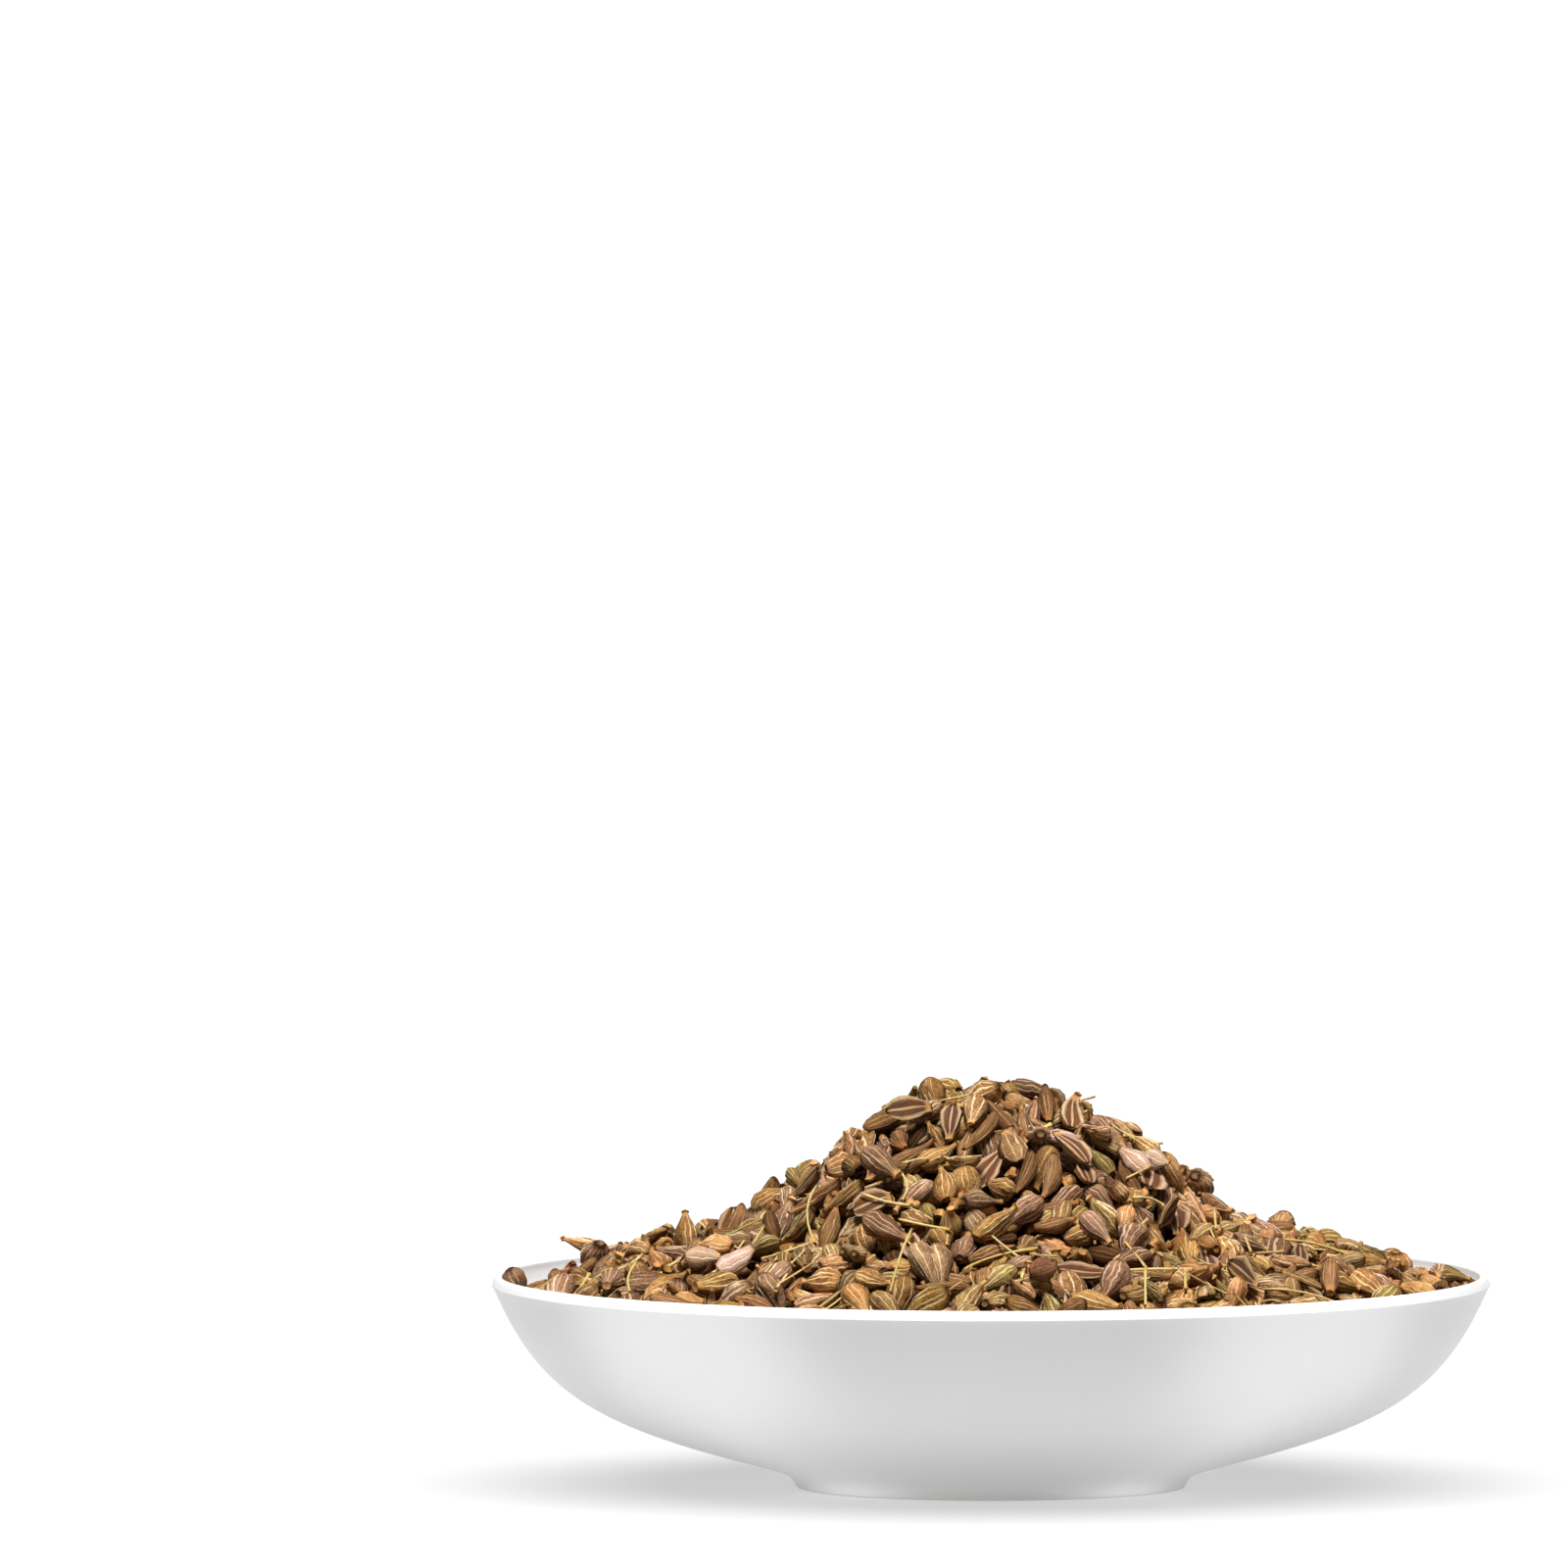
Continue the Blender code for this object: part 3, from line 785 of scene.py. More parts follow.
def corners_of(rings, columns):
    """The corners of one seed's faces as (ring, column) places, quads first, then its two ends."""
    ring, column = np.meshgrid(np.arange(1, rings - 2), np.arange(columns), indexing="ij")
    quads = [(ring, column), (ring + 1, column), (ring + 1, column + 1), (ring, column + 1)]
    quads = np.stack([np.stack(corner, -1) for corner in quads], 2).reshape(-1, 2)
    column = np.arange(columns)
    first = [(0 * column, column + 0.5), (0 * column + 1, column + 1), (0 * column + 1, column)]
    last = 0 * column + rings - 1
    tip = [(last, column + 0.5), (last - 1, column), (last - 1, column + 1)]
    ends = [np.stack([np.stack(c, -1) for c in end], 1).reshape(-1, 2) for end in (first, tip)]
    return np.concatenate([quads, *ends])


def join_seeds(name, along, points, middles, turns):
    """Makes one piece of all these seeds, each a closed skin with a strip of the UV map."""
    count, rings, columns = points.shape[:3]
    placed = np.einsum("nij,nrcj->nrci", turns, points) + middles[:, None, None, :]
    start, tip = placed[:, 0, :1], placed[:, -1, :1]
    vertices = np.concatenate([start, placed[:, 1:-1].reshape(count, -1, 3), tip], 1) * MM
    each = vertices.shape[1]
    ring, column = corners_of(rings, columns).T
    number = 1 + (ring - 1) * columns + column % columns
    number = np.where(ring == 0, 0, np.where(ring == rings - 1, each - 1, number))
    numbers = (number.astype(int) + each * np.arange(count)[:, None]).ravel()
    face_sizes = np.array([4] * ((rings - 3) * columns) + [3] * (2 * columns))
    face_sizes = np.tile(face_sizes, count)

    mesh = bpy.data.meshes.new(name)
    mesh.vertices.add(count * each)
    mesh.loops.add(len(numbers))
    mesh.polygons.add(len(face_sizes))
    mesh.vertices.foreach_set("co", vertices.ravel())
    mesh.loops.foreach_set("vertex_index", numbers)
    mesh.polygons.foreach_set("loop_start", np.cumsum(face_sizes) - face_sizes)
    mesh.update(calc_edges=True)
    strip = chance.integers(0, STRIPS, (count, 1, 2))
    spot = np.stack([column / columns, along[ring.astype(int)]], -1)
    spot = (strip + STRIP_MARGIN / 2 + (1 - STRIP_MARGIN) * spot) / np.array(STRIPS)
    mesh.uv_layers.new(name="OFBake").uv.foreach_set("vector", spot.ravel())
    mesh.shade_smooth()
    mesh.validate()
    obj = bpy.data.objects.new(name, mesh)
    bpy.context.collection.objects.link(obj)
    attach(obj, "root")
    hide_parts("seed_heap")
    return obj


def grow(name, chosen, outline, relief, bow, upset=0.0, **form):
    """Makes a piece of these seeds of the heap, with this share of them upside down."""
    count = len(chosen)
    bows = chance.normal(bow[0], bow[1], count)
    points = seed_points(outline, sizes[chosen] / 2, relief(count), bows, **form)
    points[..., 1:] *= np.where(chance.random(count) < upset, -1.0, 1.0)[:, None, None, None]
    points[..., :2] *= facing[chosen, None, None, None]
    along = np.array(outline)[:, 0]
    return join_seeds(name, along, points, middles[chosen], turns[chosen])


# how a husk is marked: each edge is where a mark begins and where it is full, as a share of the
# way along the seed, round it, or from a rib's middle to the next rib's
MARKS_APART = 40  # how far apart in the noise two seeds' marks are read
MARK_GIRTH = 0.35  # a seed's half girth in the noise
MARK_LENGTH = 1.4
RIB_WOBBLE = 0.7
RIB_EDGE = (0.19, 0.05)
RIB_START = (0.02, 0.2)
RIB_SHOWS = (0.22, 0.74)  # at least, and how much more where the rib comes and goes
PATCH_EDGE = (0.40, 0.62)
PATCH_FROST = 0.38
HAIR_EDGE = (0.35, 0.68)
HAIR_FROST = 0.46
NECK_EDGE = (0.76, 0.90)
BASE_EDGE = (0.06, 0.0)
FACE_START = 0.5  # a half's flat face, in turns round it
FACE_MIDDLE = 0.75
FACE_LINE_EDGE = (0.045, 0.010)
FACE_MARGIN_EDGE = (0.13, 0.22)
FACE_SHOWS = (0.25, 0.8)
GREENER = (0.93, 0.12)  # the least share of green and of blue in a seed's tint, and how much more
BLUER = (0.85, 0.3)
HUSK_ROUGHNESS = (0.66, 0.25)
HUSK_GLOSS = 0.18
HUSK_RELIEF = 0.10 * MM


def husk(name, skin, frost, rib, stump, ribs=RIB_COLUMNS / 2, face=None, shades=(0.62, 1.28)):
    """A seed's skin: pale ribs over a husk frosted in patches, and a browner neck and stump."""
    finish = Finish(name)
    place = finish.node("UVMap", {"uv_map": "OFBake"}, {})
    across = finish.node("SeparateXYZ", {}, {0: place}, 0) * float(STRIPS[0])
    up = finish.node("SeparateXYZ", {}, {0: place}, 1) * float(STRIPS[1])
    strip = finish.node("CombineXYZ", {}, {0: across.floor(), 1: up.floor()})
    luck = finish.node("TexWhiteNoise", {"noise_dimensions": "2D"}, {"Vector": strip})
    more_luck = (luck * 7.31).fraction()
    around = across.fraction()
    along = up.fraction()
    turn = around * (2 * math.pi)
    x = turn.cosine() * MARK_GIRTH + luck * MARKS_APART
    round_it = {0: x, 1: turn.sine() * MARK_GIRTH, 2: along * MARK_LENGTH}
    spot = finish.node("CombineXYZ", {}, round_it)
    wobble = finish.grain(spot, 3.5, 2)
    on_rib = (around * float(ribs) + RIB_WOBBLE * (wobble - 0.5)).fold(0.5).step(*RIB_EDGE)
    on_rib = on_rib * along.step(*RIB_START)
    patches = finish.grain(spot, 2.2, 2).step(*PATCH_EDGE)
    hairs = finish.grain(spot, 18.0, 3, 0.7).step(*HAIR_EDGE)
    colour = finish.blend(PATCH_FROST * patches + HAIR_FROST * hairs, skin, frost)
    colour = finish.blend(on_rib * (RIB_SHOWS[0] + RIB_SHOWS[1] * wobble), colour, rib)
    if face:
        inner, margin = face
        from_middle = finish.node("Math", {"operation": "ABSOLUTE"}, {0: around - FACE_MIDDLE})
        on_face = around.step(FACE_START, FACE_START + 0.01)
        line = from_middle.step(*FACE_LINE_EDGE) + from_middle.step(*FACE_MARGIN_EDGE)
        line = (FACE_SHOWS[0] + FACE_SHOWS[1] * wobble) * line
        flat = finish.blend(line, finish.blend(patches, inner, skin), margin)
        colour = finish.blend(on_face, colour, flat)
    colour = finish.blend(0.85 * along.step(*NECK_EDGE), colour, stump)
    colour = finish.blend(0.5 * along.step(*BASE_EDGE), colour, skin)
    red = shades[0] + (shades[1] - shades[0]) * luck
    green = red * (GREENER[0] + GREENER[1] * more_luck)
    blue = red * (BLUER[0] + BLUER[1] * luck)
    tint = finish.node("CombineXYZ", {}, {0: red, 1: green, 2: blue})
    finish.wear(
        Base_Color=finish.blend(1.0, colour, tint, "MULTIPLY"),
        Roughness=HUSK_ROUGHNESS[0] + HUSK_ROUGHNESS[1] * hairs,
        Specular_IOR_Level=HUSK_GLOSS,
    )
    finish.emboss(0.6 * on_rib + 0.4 * hairs, HUSK_RELIEF)
    return finish


# kind: its husk, the hairs on it, its ribs, and its stump
WHOLE_HUSKS = {
    "mauve_seed": ((0.132, 0.049, 0.018), (0.47, 0.272, 0.140), (0.93, 0.70, 0.46), (0.78, 0.420, 0.150)),
    "golden_seed": ((0.165, 0.060, 0.008), (0.55, 0.310, 0.090), (0.97, 0.72, 0.37), (0.80, 0.42, 0.130)),
    "olive_seed": ((0.122, 0.058, 0.009), (0.44, 0.290, 0.090), (0.93, 0.71, 0.36), (0.74, 0.43, 0.140)),
    "tan_seed": ((0.315, 0.110, 0.020), (0.71, 0.390, 0.138), (0.97, 0.69, 0.37), (0.82, 0.41, 0.130)),
}


def whole_ribs(count):
    return rib_relief(RIB_COLUMNS, count)


for name, colours in WHOLE_HUSKS.items():
    whole_seeds = grow(name, those(name), WHOLE_OUTLINE, whole_ribs, bow=(0.06, 0.13))
    husk(name + "_husk", *colours).paint(whole_seeds)


# ---------------------------------------- slim curved seeds
# Seeds that never filled out are long, thin and bowed. They dried a darker, redder brown.
SLIM_OUTLINE = (
    (0.0, 0.0), (0.03, 0.34), (0.12, 0.70), (0.30, 0.98), (0.50, 1.0), (0.68, 0.84),
    (0.82, 0.56), (0.91, 0.36), (0.96, 0.32), (1.0, 0.0),
)
SLIM_COLOURS = ((0.135, 0.048, 0.012), (0.34, 0.170, 0.064), (0.66, 0.40, 0.18), (0.52, 0.23, 0.070))
slim_seeds = grow("slim_seed", those("slim_seed"), SLIM_OUTLINE, whole_ribs, bow=(0.45, 0.40))
husk("slim_husk", *SLIM_COLOURS).paint(slim_seeds)


# ---------------------------------------- half seeds
# Many seeds have come apart. A half has ribs down its round back. Its face, where the halves met,
# is hollow and dark, with a pale line down the middle and pale edges.
HALF_COLUMNS = 20
HALF_OUTLINE = (
    (0.0, 0.0), (0.025, 0.34), (0.11, 0.74), (0.28, 1.0), (0.46, 0.97), (0.64, 0.76),
    (0.79, 0.50), (0.89, 0.33), (0.955, 0.33), (1.0, 0.0),
)
FACE_HOLLOW = 0.34
FACE_LINE = 0.14
HALF_RISE = 1.9  # the back's height over the face, in half thicknesses
HALF_DRYNESS = (0.7, 1.8)
HALF_RIB_SPREAD = 0.015


def half_section(angles):
    """A round back from one edge over to the other, and then the hollow face back again."""
    share = angles / (2 * np.pi)
    on_back = share <= FACE_START
    y = np.where(on_back, np.cos(2 * np.pi * share), 4 * (share - FACE_MIDDLE))
    line = np.where(np.abs(share - FACE_MIDDLE) < 0.01, FACE_LINE, 0.0)
    face = FACE_HOLLOW * (1 - y**2) - line
    z = np.where(on_back, HALF_RISE * np.sin(2 * np.pi * share), face)
    return y, z - HALF_RISE / 2


def back_ribs(count):
    around = np.arange(HALF_COLUMNS)
    back = np.where(around % 2 == 0, RIB_HEIGHT, -RIB_HEIGHT) * (around <= HALF_COLUMNS // 2)
    dryness = chance.uniform(*HALF_DRYNESS, (count, 1, 1))
    return dryness * back + chance.normal(0, HALF_RIB_SPREAD, (count, 1, HALF_COLUMNS))


HALF_COLOURS = ((0.150, 0.056, 0.013), (0.52, 0.300, 0.120), (0.95, 0.70, 0.39), (0.74, 0.39, 0.130))
HALF_FACE = ((0.115, 0.046, 0.026), (0.70, 0.47, 0.26))
half_seeds = grow(
    "half_seed",
    those("half_seed"),
    HALF_OUTLINE,
    back_ribs,
    bow=(-0.5, 0.5),
    upset=0.5,
    section=half_section,
)
husk("half_husk", *HALF_COLOURS, ribs=HALF_COLUMNS / 2, face=HALF_FACE).paint(half_seeds)


# ---------------------------------------- empty husks
# A few halves have lost their kernel in the sieve. The husk that is left is thin, flat and of a
# pale pink, with whitish ribs, and lies in the gaps between the seeds.
EMPTY_COLOURS = ((0.42, 0.250, 0.145), (0.62, 0.43, 0.28), (0.95, 0.80, 0.62), (0.62, 0.38, 0.18))
empty_chosen = those("empty_husk", also_hidden=True)
empty_husks = grow(
    "empty_husk", empty_chosen, HALF_OUTLINE, back_ribs, bow=(0.2, 0.2), section=half_section
)
husk("empty_skin", *EMPTY_COLOURS, ribs=HALF_COLUMNS / 2, shades=(0.9, 1.15)).paint(empty_husks)


# ---------------------------------------- seeds coming apart
# In some seeds the halves have begun to part. They hang together at the neck and spread at the
# broad end, so that the seed looks like a pair.
SPREAD = 0.52  # how far each half has moved out at the broad end, as a share of the half width
LOBE_WIDTH = 0.60
LOBE_BOW = (0.1, 0.15)
LOBE_CURVE = 0.7  # the less, the nearer the neck the lobes still lie apart


def lobes_apart(name, chosen):
    along = np.array(WHOLE_OUTLINE)[:, 0]
    pairs = []
    for side in (-1, 1):
        halves = sizes[chosen] / 2 * (1, LOBE_WIDTH, 1)
        bows = chance.normal(*LOBE_BOW, len(chosen))
        points = seed_points(WHOLE_OUTLINE, halves, whole_ribs(len(chosen)), bows)
        apart = side * SPREAD * sizes[chosen, 1] / 2
        points[..., 1] += apart[:, None, None] * (1 - along[:, None]) ** LOBE_CURVE
        pairs.append(points)
    twice = np.concatenate([chosen, chosen])
    return join_seeds(name, along, np.concatenate(pairs), middles[twice], turns[twice])


SPLIT_COLOURS = ((0.150, 0.064, 0.018), (0.50, 0.315, 0.140), (0.94, 0.70, 0.41), (0.60, 0.30, 0.090))
husk("split_husk", *SPLIT_COLOURS).paint(lobes_apart("split_seed", those("split_seed")))


# ---------------------------------------- broken seeds
# Some seeds have lost their neck in the sieve, and end in a torn, hollow mouth of bare husk.
BROKEN_OUTLINE = (
    (0.0, 0.0), (0.04, 0.38), (0.17, 0.78), (0.40, 1.0), (0.66, 0.97), (0.88, 0.80),
    (0.97, 0.66), (0.90, 0.44), (0.72, 0.0),
)
BROKEN_COLOURS = ((0.200, 0.080, 0.020), (0.52, 0.290, 0.105), (0.90, 0.62, 0.31), (0.16, 0.065, 0.020))
broken_seeds = grow("broken_seed", those("broken_seed"), BROKEN_OUTLINE, whole_ribs, bow=(0.1, 0.1))
husk("broken_husk", *BROKEN_COLOURS).paint(broken_seeds)


# ---------------------------------------- round seeds
# A few small round seeds of a dark red brown have come in with the harvest.
ROUND_COLUMNS = 12
ROUND_RELIEF = 0.035
ROUND_OUTLINE = (
    (0, 0), (0.05, 0.45), (0.2, 0.8), (0.4, 0.98), (0.6, 0.98), (0.8, 0.8), (0.95, 0.45),
    (1, 0),
)
ROUND_COLOURS = ((0.110, 0.040, 0.016), (0.34, 0.165, 0.080), (0.26, 0.120, 0.055), (0.24, 0.11, 0.05))


def no_ribs(count):
    return chance.normal(0, ROUND_RELIEF, (count, 1, ROUND_COLUMNS))


round_chosen = those("round_seed", also_hidden=True)
round_seeds = grow("round_seed", round_chosen, ROUND_OUTLINE, no_ribs, bow=(0, 0.05))
husk("round_husk", *ROUND_COLOURS).paint(round_seeds)


# ---------------------------------------- seeds underneath
# Between the seeds on top show parts of those below, which lie in their shade. They are the same
# seeds, of all kinds, and as so little of each can be seen they have fewer faces. Their colours are
# painted shade: far darker than those of the seeds on top.
UNDER_COLUMNS = 10
UNDER_RIBS = 0.05
UNDER_RELIEF = 0.03
UNDER_OUTLINE = (
    (0, 0), (0.06, 0.52), (0.25, 0.96), (0.5, 0.95), (0.75, 0.56), (0.92, 0.27), (1, 0),
)
# painted shade: the husk's colours made many times darker for the shade these seeds lie in
UNDER_PAINTED_SHADE_COLOURS = ((0.035, 0.010, 0.002), (0.09, 0.035, 0.007), (0.22, 0.105, 0.026), (0.12, 0.045, 0.009))


def faint_ribs(count):
    around = np.arange(UNDER_COLUMNS)
    ribs = np.where(around % 2 == 0, UNDER_RIBS, -UNDER_RIBS)
    return ribs + chance.normal(0, UNDER_RELIEF, (count, 1, UNDER_COLUMNS))


late = kinds >= len(KINDS)
under = np.flatnonzero(~showing & ~late & (seen_cells > 0))
under_seeds = grow("under_seeds", under, UNDER_OUTLINE, faint_ribs, bow=(0.05, 0.1))
husk("under_husk_painted_shade", *UNDER_PAINTED_SHADE_COLOURS).paint(under_seeds)


# ---------------------------------------- crumbs and chaff
# Stumps of flowers and flakes of husk that broke off in threshing have dropped into the gaps. The
# crumbs are knobbly and orange brown, the flakes thin and pale.
CRUMB_COLUMNS = 7
CRUMB_RELIEF = 0.15
CRUMB_UNEVEN = 2.2
CRUMB_OUTLINE = ((0, 0), (0.08, 0.62), (0.28, 0.98), (0.50, 0.72), (0.72, 0.92), (0.93, 0.60), (1, 0))
CRUMB_COLOURS = ((0.32, 0.125, 0.025), (0.66, 0.34, 0.105), (0.82, 0.50, 0.20), (0.54, 0.24, 0.060))
CHAFF_COLUMNS = 6
CHAFF_RELIEF = 0.07
CHAFF_UNEVEN = 1.2
CHAFF_OUTLINE = ((0, 0), (0.12, 0.75), (0.45, 1.0), (0.85, 0.65), (1, 0))
CHAFF_COLOURS = ((0.38, 0.19, 0.06), (0.66, 0.43, 0.20), (0.92, 0.74, 0.48), (0.54, 0.29, 0.10))


def knobbly(count):
    return chance.normal(0, CRUMB_RELIEF, (count, 1, CRUMB_COLUMNS))


def torn(count):
    return chance.normal(0, CHAFF_RELIEF, (count, 1, CHAFF_COLUMNS))


all_crumbs = those("crumbs", also_hidden=True)
crumbs = grow("crumbs", all_crumbs, CRUMB_OUTLINE, knobbly, bow=(0.1, 0.2), uneven=CRUMB_UNEVEN)
husk("crumb_husk", *CRUMB_COLOURS, ribs=3).paint(crumbs)
all_chaff = those("chaff", also_hidden=True)
chaff = grow("chaff", all_chaff, CHAFF_OUTLINE, torn, bow=(0.6, 0.5), uneven=CHAFF_UNEVEN)
husk("chaff_husk", *CHAFF_COLOURS, ribs=3, shades=(0.5, 1.4)).paint(chaff)


# ---------------------------------------- stalks
# The thin straw stalks that held the fruit. Some still sit in a seed's broad end, and some lie
# loose across the heap, each resting on the two highest things under it. The ones that catch the
# eye on the front are leant on it where they are seen.
STALK_COLUMNS = 6
STALK_OUTLINE = (
    (0, 0), (0.015, 0.85), (0.15, 1.0), (0.32, 0.85), (0.5, 0.9), (0.68, 0.85), (0.85, 1.0),
    (0.97, 1.5), (1, 0),
)
STALK_COLOURS = ((0.90, 0.62, 0.19), (0.98, 0.76, 0.32), (1.0, 0.86, 0.46), (0.84, 0.50, 0.15))
LOOSE_STALKS = 170
STALK_LENGTHS = (3.0, 10.5)
STALK_SHORTNESS = 1.6  # the greater, the more of them are short
STALK_THICKNESSES = (0.20, 0.34)
STALK_SAMPLES = 21
STALK_PITCHES = np.radians(np.linspace(-45, 45, 41))
MOST_SINK = 0.625
STALK_BEND = 0.045  # as a share of its length
STALK_RELIEF = 0.06
STALK_RADIUS = 44.0  # how far from the middle a loose stalk may lie
MOST_GAP = 1.2  # how far over the heap a stalk may be
LAID_THICKNESS = 0.30
LAID_SLANTS = np.linspace(-5, 5, 41)  # how much further back than its start a stalk may end
HELD_STALKS = 150
HELD_LENGTHS = (0.7, 2.6)
HELD_THICKNESS = 0.23
HELD_FROM = 0.48  # where in its seed a held stalk begins, as a share of the seed's length
HELD_GAPS = (-0.6, 1.44)  # how far under and over the heap its end may be


def rest_stalk(x, y, heading, length):
    """Where a loose stalk lies lowest on the heap: the height of its middle, its pitch, and the
    mean gap under it."""
    offsets = np.linspace(-length / 2, length / 2, STALK_SAMPLES)
    under = surface_at(x + offsets * math.cos(heading), y + offsets * math.sin(heading))
    needed = (under - offsets * np.tan(STALK_PITCHES)[:, None]).max(1)
    lowest = int(np.argmin(needed))
    pitch = STALK_PITCHES[lowest]
    return needed[lowest], pitch, (needed[lowest] + offsets * math.tan(pitch) - under).mean()


stalk_middles, stalk_turns, stalk_sizes = [], [], []


def first_met(x, height):
    """How far back the heap is met in the picture, there and this high over the foot's middle."""
    heights = surface[:, cell_of(x)] + math.tan(LOOKS_DOWN) * cells[:, None]
    met = heights >= height
    return np.where(met.any(0), cells[np.argmax(met, 0)], FIELD_REACH)


def lay_in_view(start, end, bend):
    """Lays a stalk from one place in the picture to another, as far back as it still shows."""
    places = in_millimetres([start, end])
    along = np.linspace(0, 1, STALK_SAMPLES)
    chord = places[1] - places[0]
    sag = bend * ((2 * along - 1) ** 2 - 1)
    x, height = places[0][:, None] + chord[:, None] * along + np.outer((-chord[1], chord[0]), sag)
    back = (first_met(x, height) - LAID_SLANTS[:, None] * (along - 0.5)).min(1)
    slant = LAID_SLANTS[np.argmax(back)]
    y = back.max() + slant * np.array([-0.5, 0.5]) - LAID_THICKNESS / 2
    z = places[:, 1] - math.tan(LOOKS_DOWN) * y
    ends = np.stack([places[:, 0], y, z], 1)
    length = np.linalg.norm(ends[1] - ends[0])
    way = (ends[1] - ends[0]) / length
    side = np.cross(way, (0, 1, 0))
    side /= np.linalg.norm(side)
    stalk_middles.append(ends.mean(0) - (1 - BOW_LEVEL) * bend * length * side)
    stalk_turns.append(np.stack([way, np.cross(side, way), side], 1))
    stalk_sizes.append((length, LAID_THICKNESS, LAID_THICKNESS))


def lay_stalk(x, y, heading, length, sink):
    """Adds a loose stalk, unless it would bridge too wide a gap or stand too high."""
    thickness = rng.uniform(*STALK_THICKNESSES)
    height, pitch, gap = rest_stalk(x, y, heading, length)
    z = height + thickness / 2 - sink
    if gap > MOST_GAP or z + abs(math.sin(pitch)) * length / 2 > MOST_HEIGHT:
        return
    stalk_middles.append((x, y, z))
    stalk_turns.append(turned(*(np.array([a]) for a in (heading, pitch, 0.0)))[0])
    stalk_sizes.append((length, thickness, thickness))


# stalks on the front: from where to where in the picture, and how far each is bent, in lengths
LAID_STALKS = (
    ((836, 1207), (833, 1271), 0.14),
    ((916, 1193), (919, 1226), -0.15),
    ((877, 1217), (932, 1230), 0.04),
    ((917, 1244), (972, 1255), 0.01),
    ((931, 1253), (908, 1321), 0.03),
    ((983, 1296), (1062, 1274), -0.06),
    ((967, 1259), (966, 1271), 0.0),
    ((1137, 1297), (1219, 1296), -0.02),
    ((1148, 1203), (1174, 1190), 0.0),
    ((1239, 1234), (1241, 1256), 0.0),
    ((1280, 1279), (1310, 1277), 0.0),
    ((1270, 1261), (1277, 1279), 0.0),
    ((1209, 1298), (1210, 1316), 0.0),
    ((1153, 1223), (1187, 1231), -0.08),
    ((650, 1287), (644, 1320), 0.10),
    ((803, 1300), (791, 1316), 0.0),
)
for start, end, bend in LAID_STALKS:
    lay_in_view(start, end, bend)
for _ in range(LOOSE_STALKS):
    longer = rng.random() ** STALK_SHORTNESS
    length = STALK_LENGTHS[0] + (STALK_LENGTHS[1] - STALK_LENGTHS[0]) * longer
    radius, azimuth = STALK_RADIUS * math.sqrt(rng.random()), rng.uniform(0, 2 * math.pi)
    x, y, heading = radius * math.cos(azimuth), radius * math.sin(azimuth), rng.uniform(0, math.pi)
    lay_stalk(x, y, heading, length, sink=rng.uniform(0, MOST_SINK))

whole = kinds < len(WHOLE_HUSKS)
bearers = rng.choice(np.flatnonzero(showing & whole), HELD_STALKS, replace=False)
held_lengths = rng.uniform(*HELD_LENGTHS, HELD_STALKS)
away = -facing[bearers, None] * turns[bearers, :, 0]
held_from = HELD_FROM * sizes[bearers, :1]
held_middles = middles[bearers] + away * (held_from + held_lengths[:, None] / 2)
held_ends = held_middles + away * held_lengths[:, None] / 2
held_gaps = held_ends[:, 2] - surface_at(held_ends[:, 0], held_ends[:, 1])
clear = (held_gaps > HELD_GAPS[0]) & (held_gaps < HELD_GAPS[1])
clear &= np.hypot(*held_middles[:, :2].T) < STALK_RADIUS
clear &= held_middles[:, 2] + np.abs(away[:, 2]) * held_lengths / 2 < MOST_HEIGHT
held_sizes = np.stack([held_lengths, *[np.full(HELD_STALKS, HELD_THICKNESS)] * 2], 1)
stalk_middles = np.concatenate([stalk_middles, held_middles[clear]])
stalk_turns = np.concatenate([stalk_turns, turns[bearers][clear]])
stalk_sizes = np.concatenate([stalk_sizes, held_sizes[clear]])
smooth_stem = chance.normal(0, STALK_RELIEF, (len(stalk_sizes), 1, STALK_COLUMNS))
stalk_bends = STALK_BEND * chance.normal(0, 1, len(stalk_sizes))
stalk_bends[: len(LAID_STALKS)] = [bend for _, _, bend in LAID_STALKS]
stalk_bows = 2 * stalk_bends * stalk_sizes[:, 0] / stalk_sizes[:, 1]
stalk_points = seed_points(STALK_OUTLINE, stalk_sizes / 2, smooth_stem, stalk_bows)
stalk_along = np.array(STALK_OUTLINE)[:, 0]
stalks = join_seeds("stalks", stalk_along, stalk_points, stalk_middles, stalk_turns)
husk("straw", *STALK_COLOURS, ribs=3, shades=(0.85, 1.15)).paint(stalks)


# ---------------------------------------- floor and light
# A plain pale floor that glows faintly, as a light table does, under an even sky. The seed, the
# dish and the floor each have a soft light high up that reaches nothing else: the floor's is wide,
# so that the shadow on it is soft. Four low ones make the bright places on the glaze.
FLOOR_SIDE = 30.0
FLOOR_WHITE = (0.42, 0.42, 0.42)
FLOOR_GLOW = 0.43
SKY = 0.08
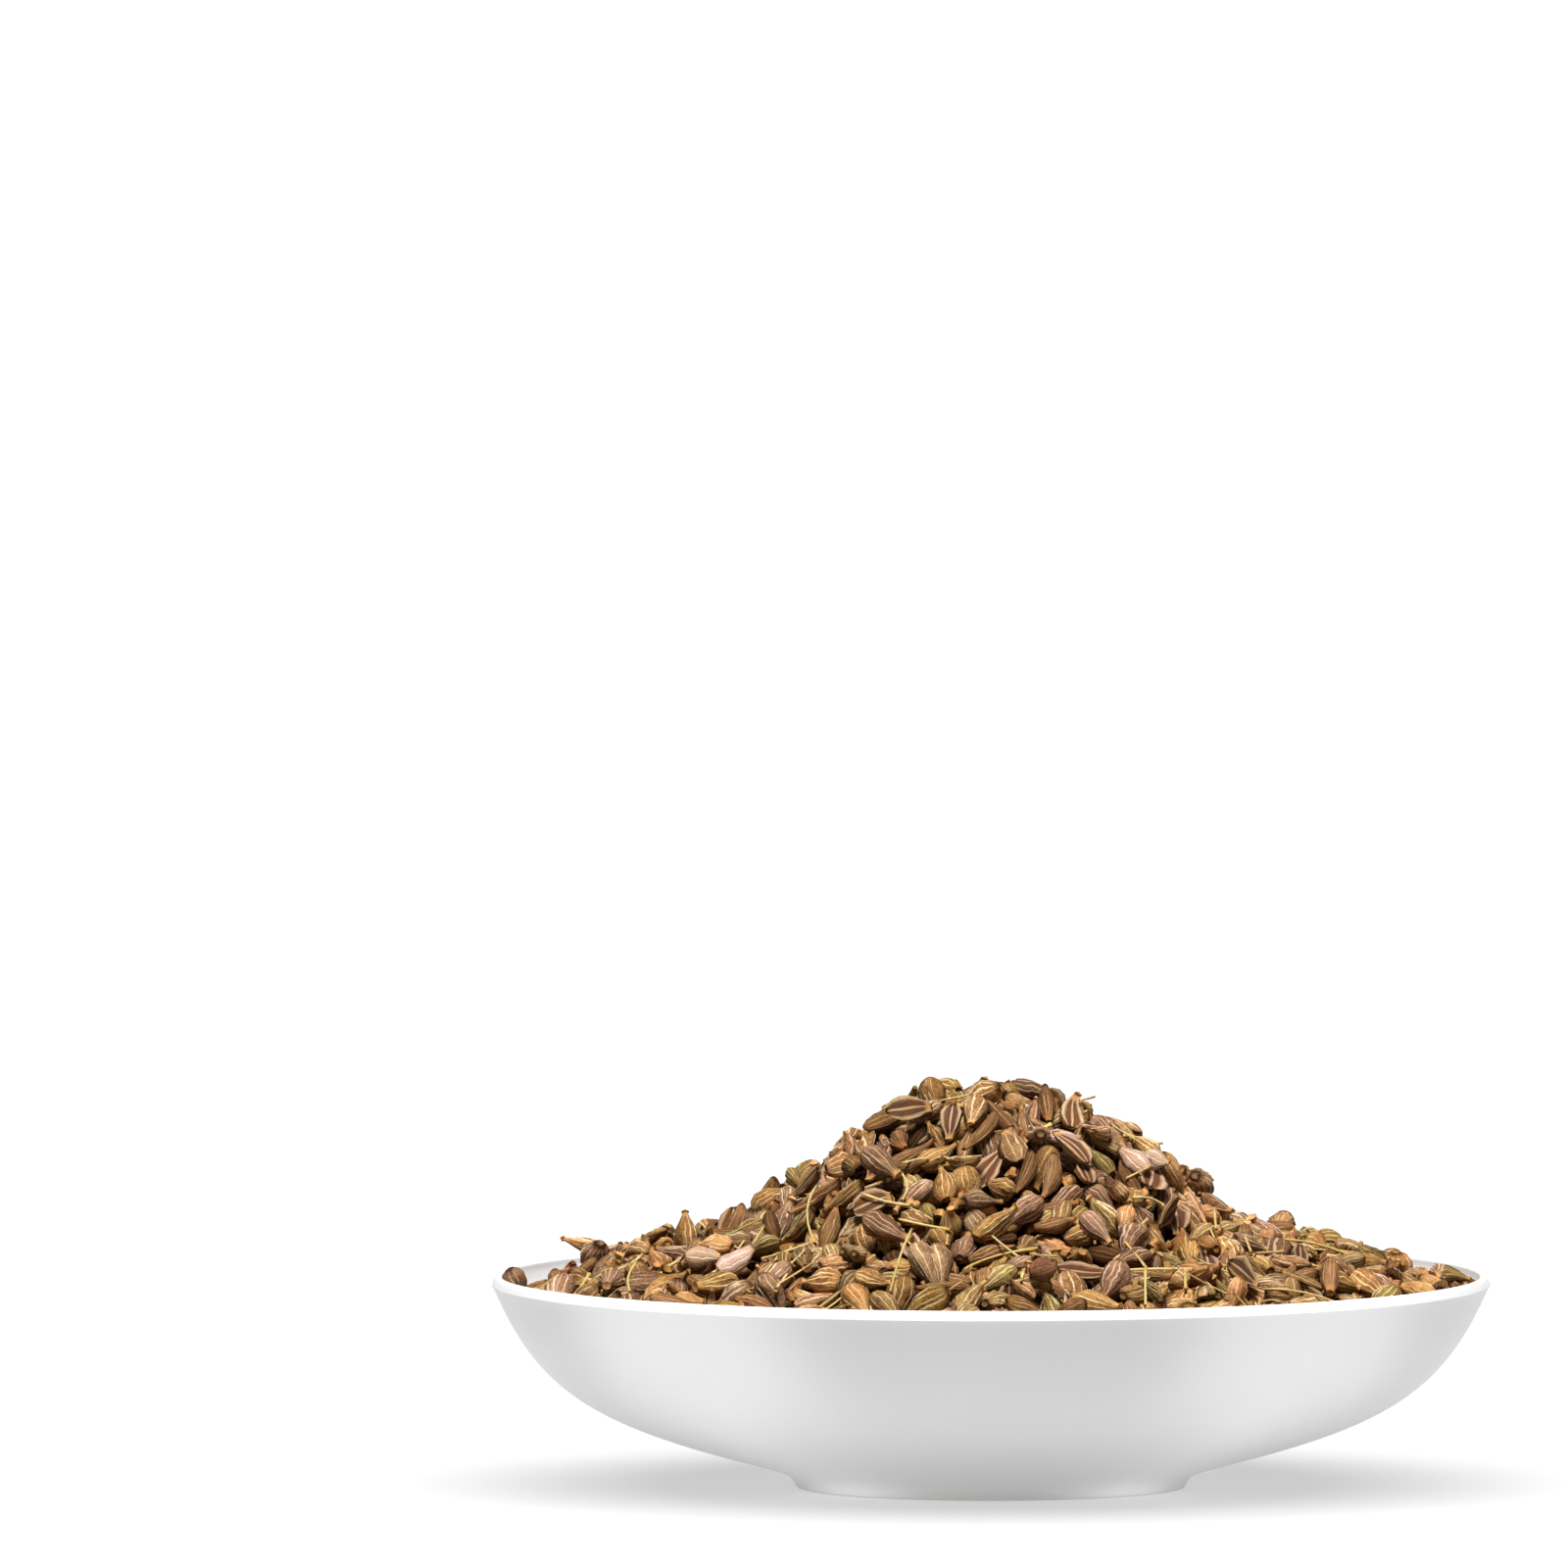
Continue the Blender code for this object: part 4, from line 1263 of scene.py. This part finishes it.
# each low light's place, the spot that it is aimed at, its strength in watts and its beam
LOW_LIGHTS = {
    "left_light": ((-0.32, -0.38, 0.03), (-0.0295, -0.034, 0.0165), 2.8, math.radians(5.0)),
    "right_light": ((0.32, -0.38, 0.03), (0.0305, -0.034, 0.0165), 2.5, math.radians(5.0)),
    "left_foot_light": ((-0.28, -0.40, 0.02), (-0.0142, -0.0134, 0.0022), 2.5, math.radians(2.0)),
    "right_foot_light": ((0.28, -0.40, 0.02), (0.0138, -0.0134, 0.0022), 2.5, math.radians(2.0)),
}
LOW_LIGHT_RADIUS = 0.004
deselect_all()
bpy.ops.mesh.primitive_plane_add(size=FLOOR_SIDE)
floor = bpy.context.object
floor.name = "floor"
paper = Finish("pale_paper")
place = paper.node("TexCoord", {}, {}, "Object")
fibres = paper.grain(place, 40, 3)
paper.wear(
    Base_Color=FLOOR_WHITE,
    Roughness=0.85 + 0.1 * fibres,
    Emission_Color=(1, 1, 1),
    Emission_Strength=FLOOR_GLOW,
)
paper.paint(floor)

world = bpy.data.worlds.new("even sky")
bpy.context.scene.world = world
world.use_nodes = True
world.node_tree.nodes["Background"].inputs["Color"].default_value = (1, 1, 1, 1)
world.node_tree.nodes["Background"].inputs["Strength"].default_value = SKY

# each light's strength in watts to the square metre, how wide it looks from below, its tilt to
# the front, and the pieces that it reaches, or else those that it doesn't
HIGH_LIGHTS = {
    "seed_light": (6.0, math.radians(22), math.radians(24), [dish, floor], "EXCLUDE"),
    "dish_light": (8.0, math.radians(40), math.radians(6), [dish], "INCLUDE"),
    "floor_light": (4.6, math.radians(95), math.radians(12), [floor], "INCLUDE"),
}


def shine_on(light, pieces, link="INCLUDE"):
    """Lets a light reach these pieces alone, or with EXCLUDE all but them."""
    reached = bpy.data.collections.new(light.name + "_pieces")
    for piece in pieces:
        reached.objects.link(piece)
    for member in reached.collection_objects:
        member.light_linking.link_state = link
    light.light_linking.receiver_collection = reached


for name, (strength, spread, tilt, pieces, link) in HIGH_LIGHTS.items():
    bpy.ops.object.light_add(type="SUN", location=(0, 0, 1), rotation=(tilt, 0, 0))
    light = bpy.context.object
    light.name = name
    light.data.energy = strength
    light.data.angle = spread
    shine_on(light, pieces, link)

for name, (place, aim, watts, beam) in LOW_LIGHTS.items():
    towards = (Vector(aim) - Vector(place)).to_track_quat("-Z", "Y").to_euler()
    bpy.ops.object.light_add(type="SPOT", location=place, rotation=towards)
    light = bpy.context.object
    light.name = name
    light.data.energy = watts
    light.data.spot_size = beam
    light.data.spot_blend = 1.0
    light.data.shadow_soft_size = LOW_LIGHT_RADIUS
    shine_on(light, [dish])
shine_on(floor, [dish])

bpy.context.scene.view_settings.view_transform = "Standard"
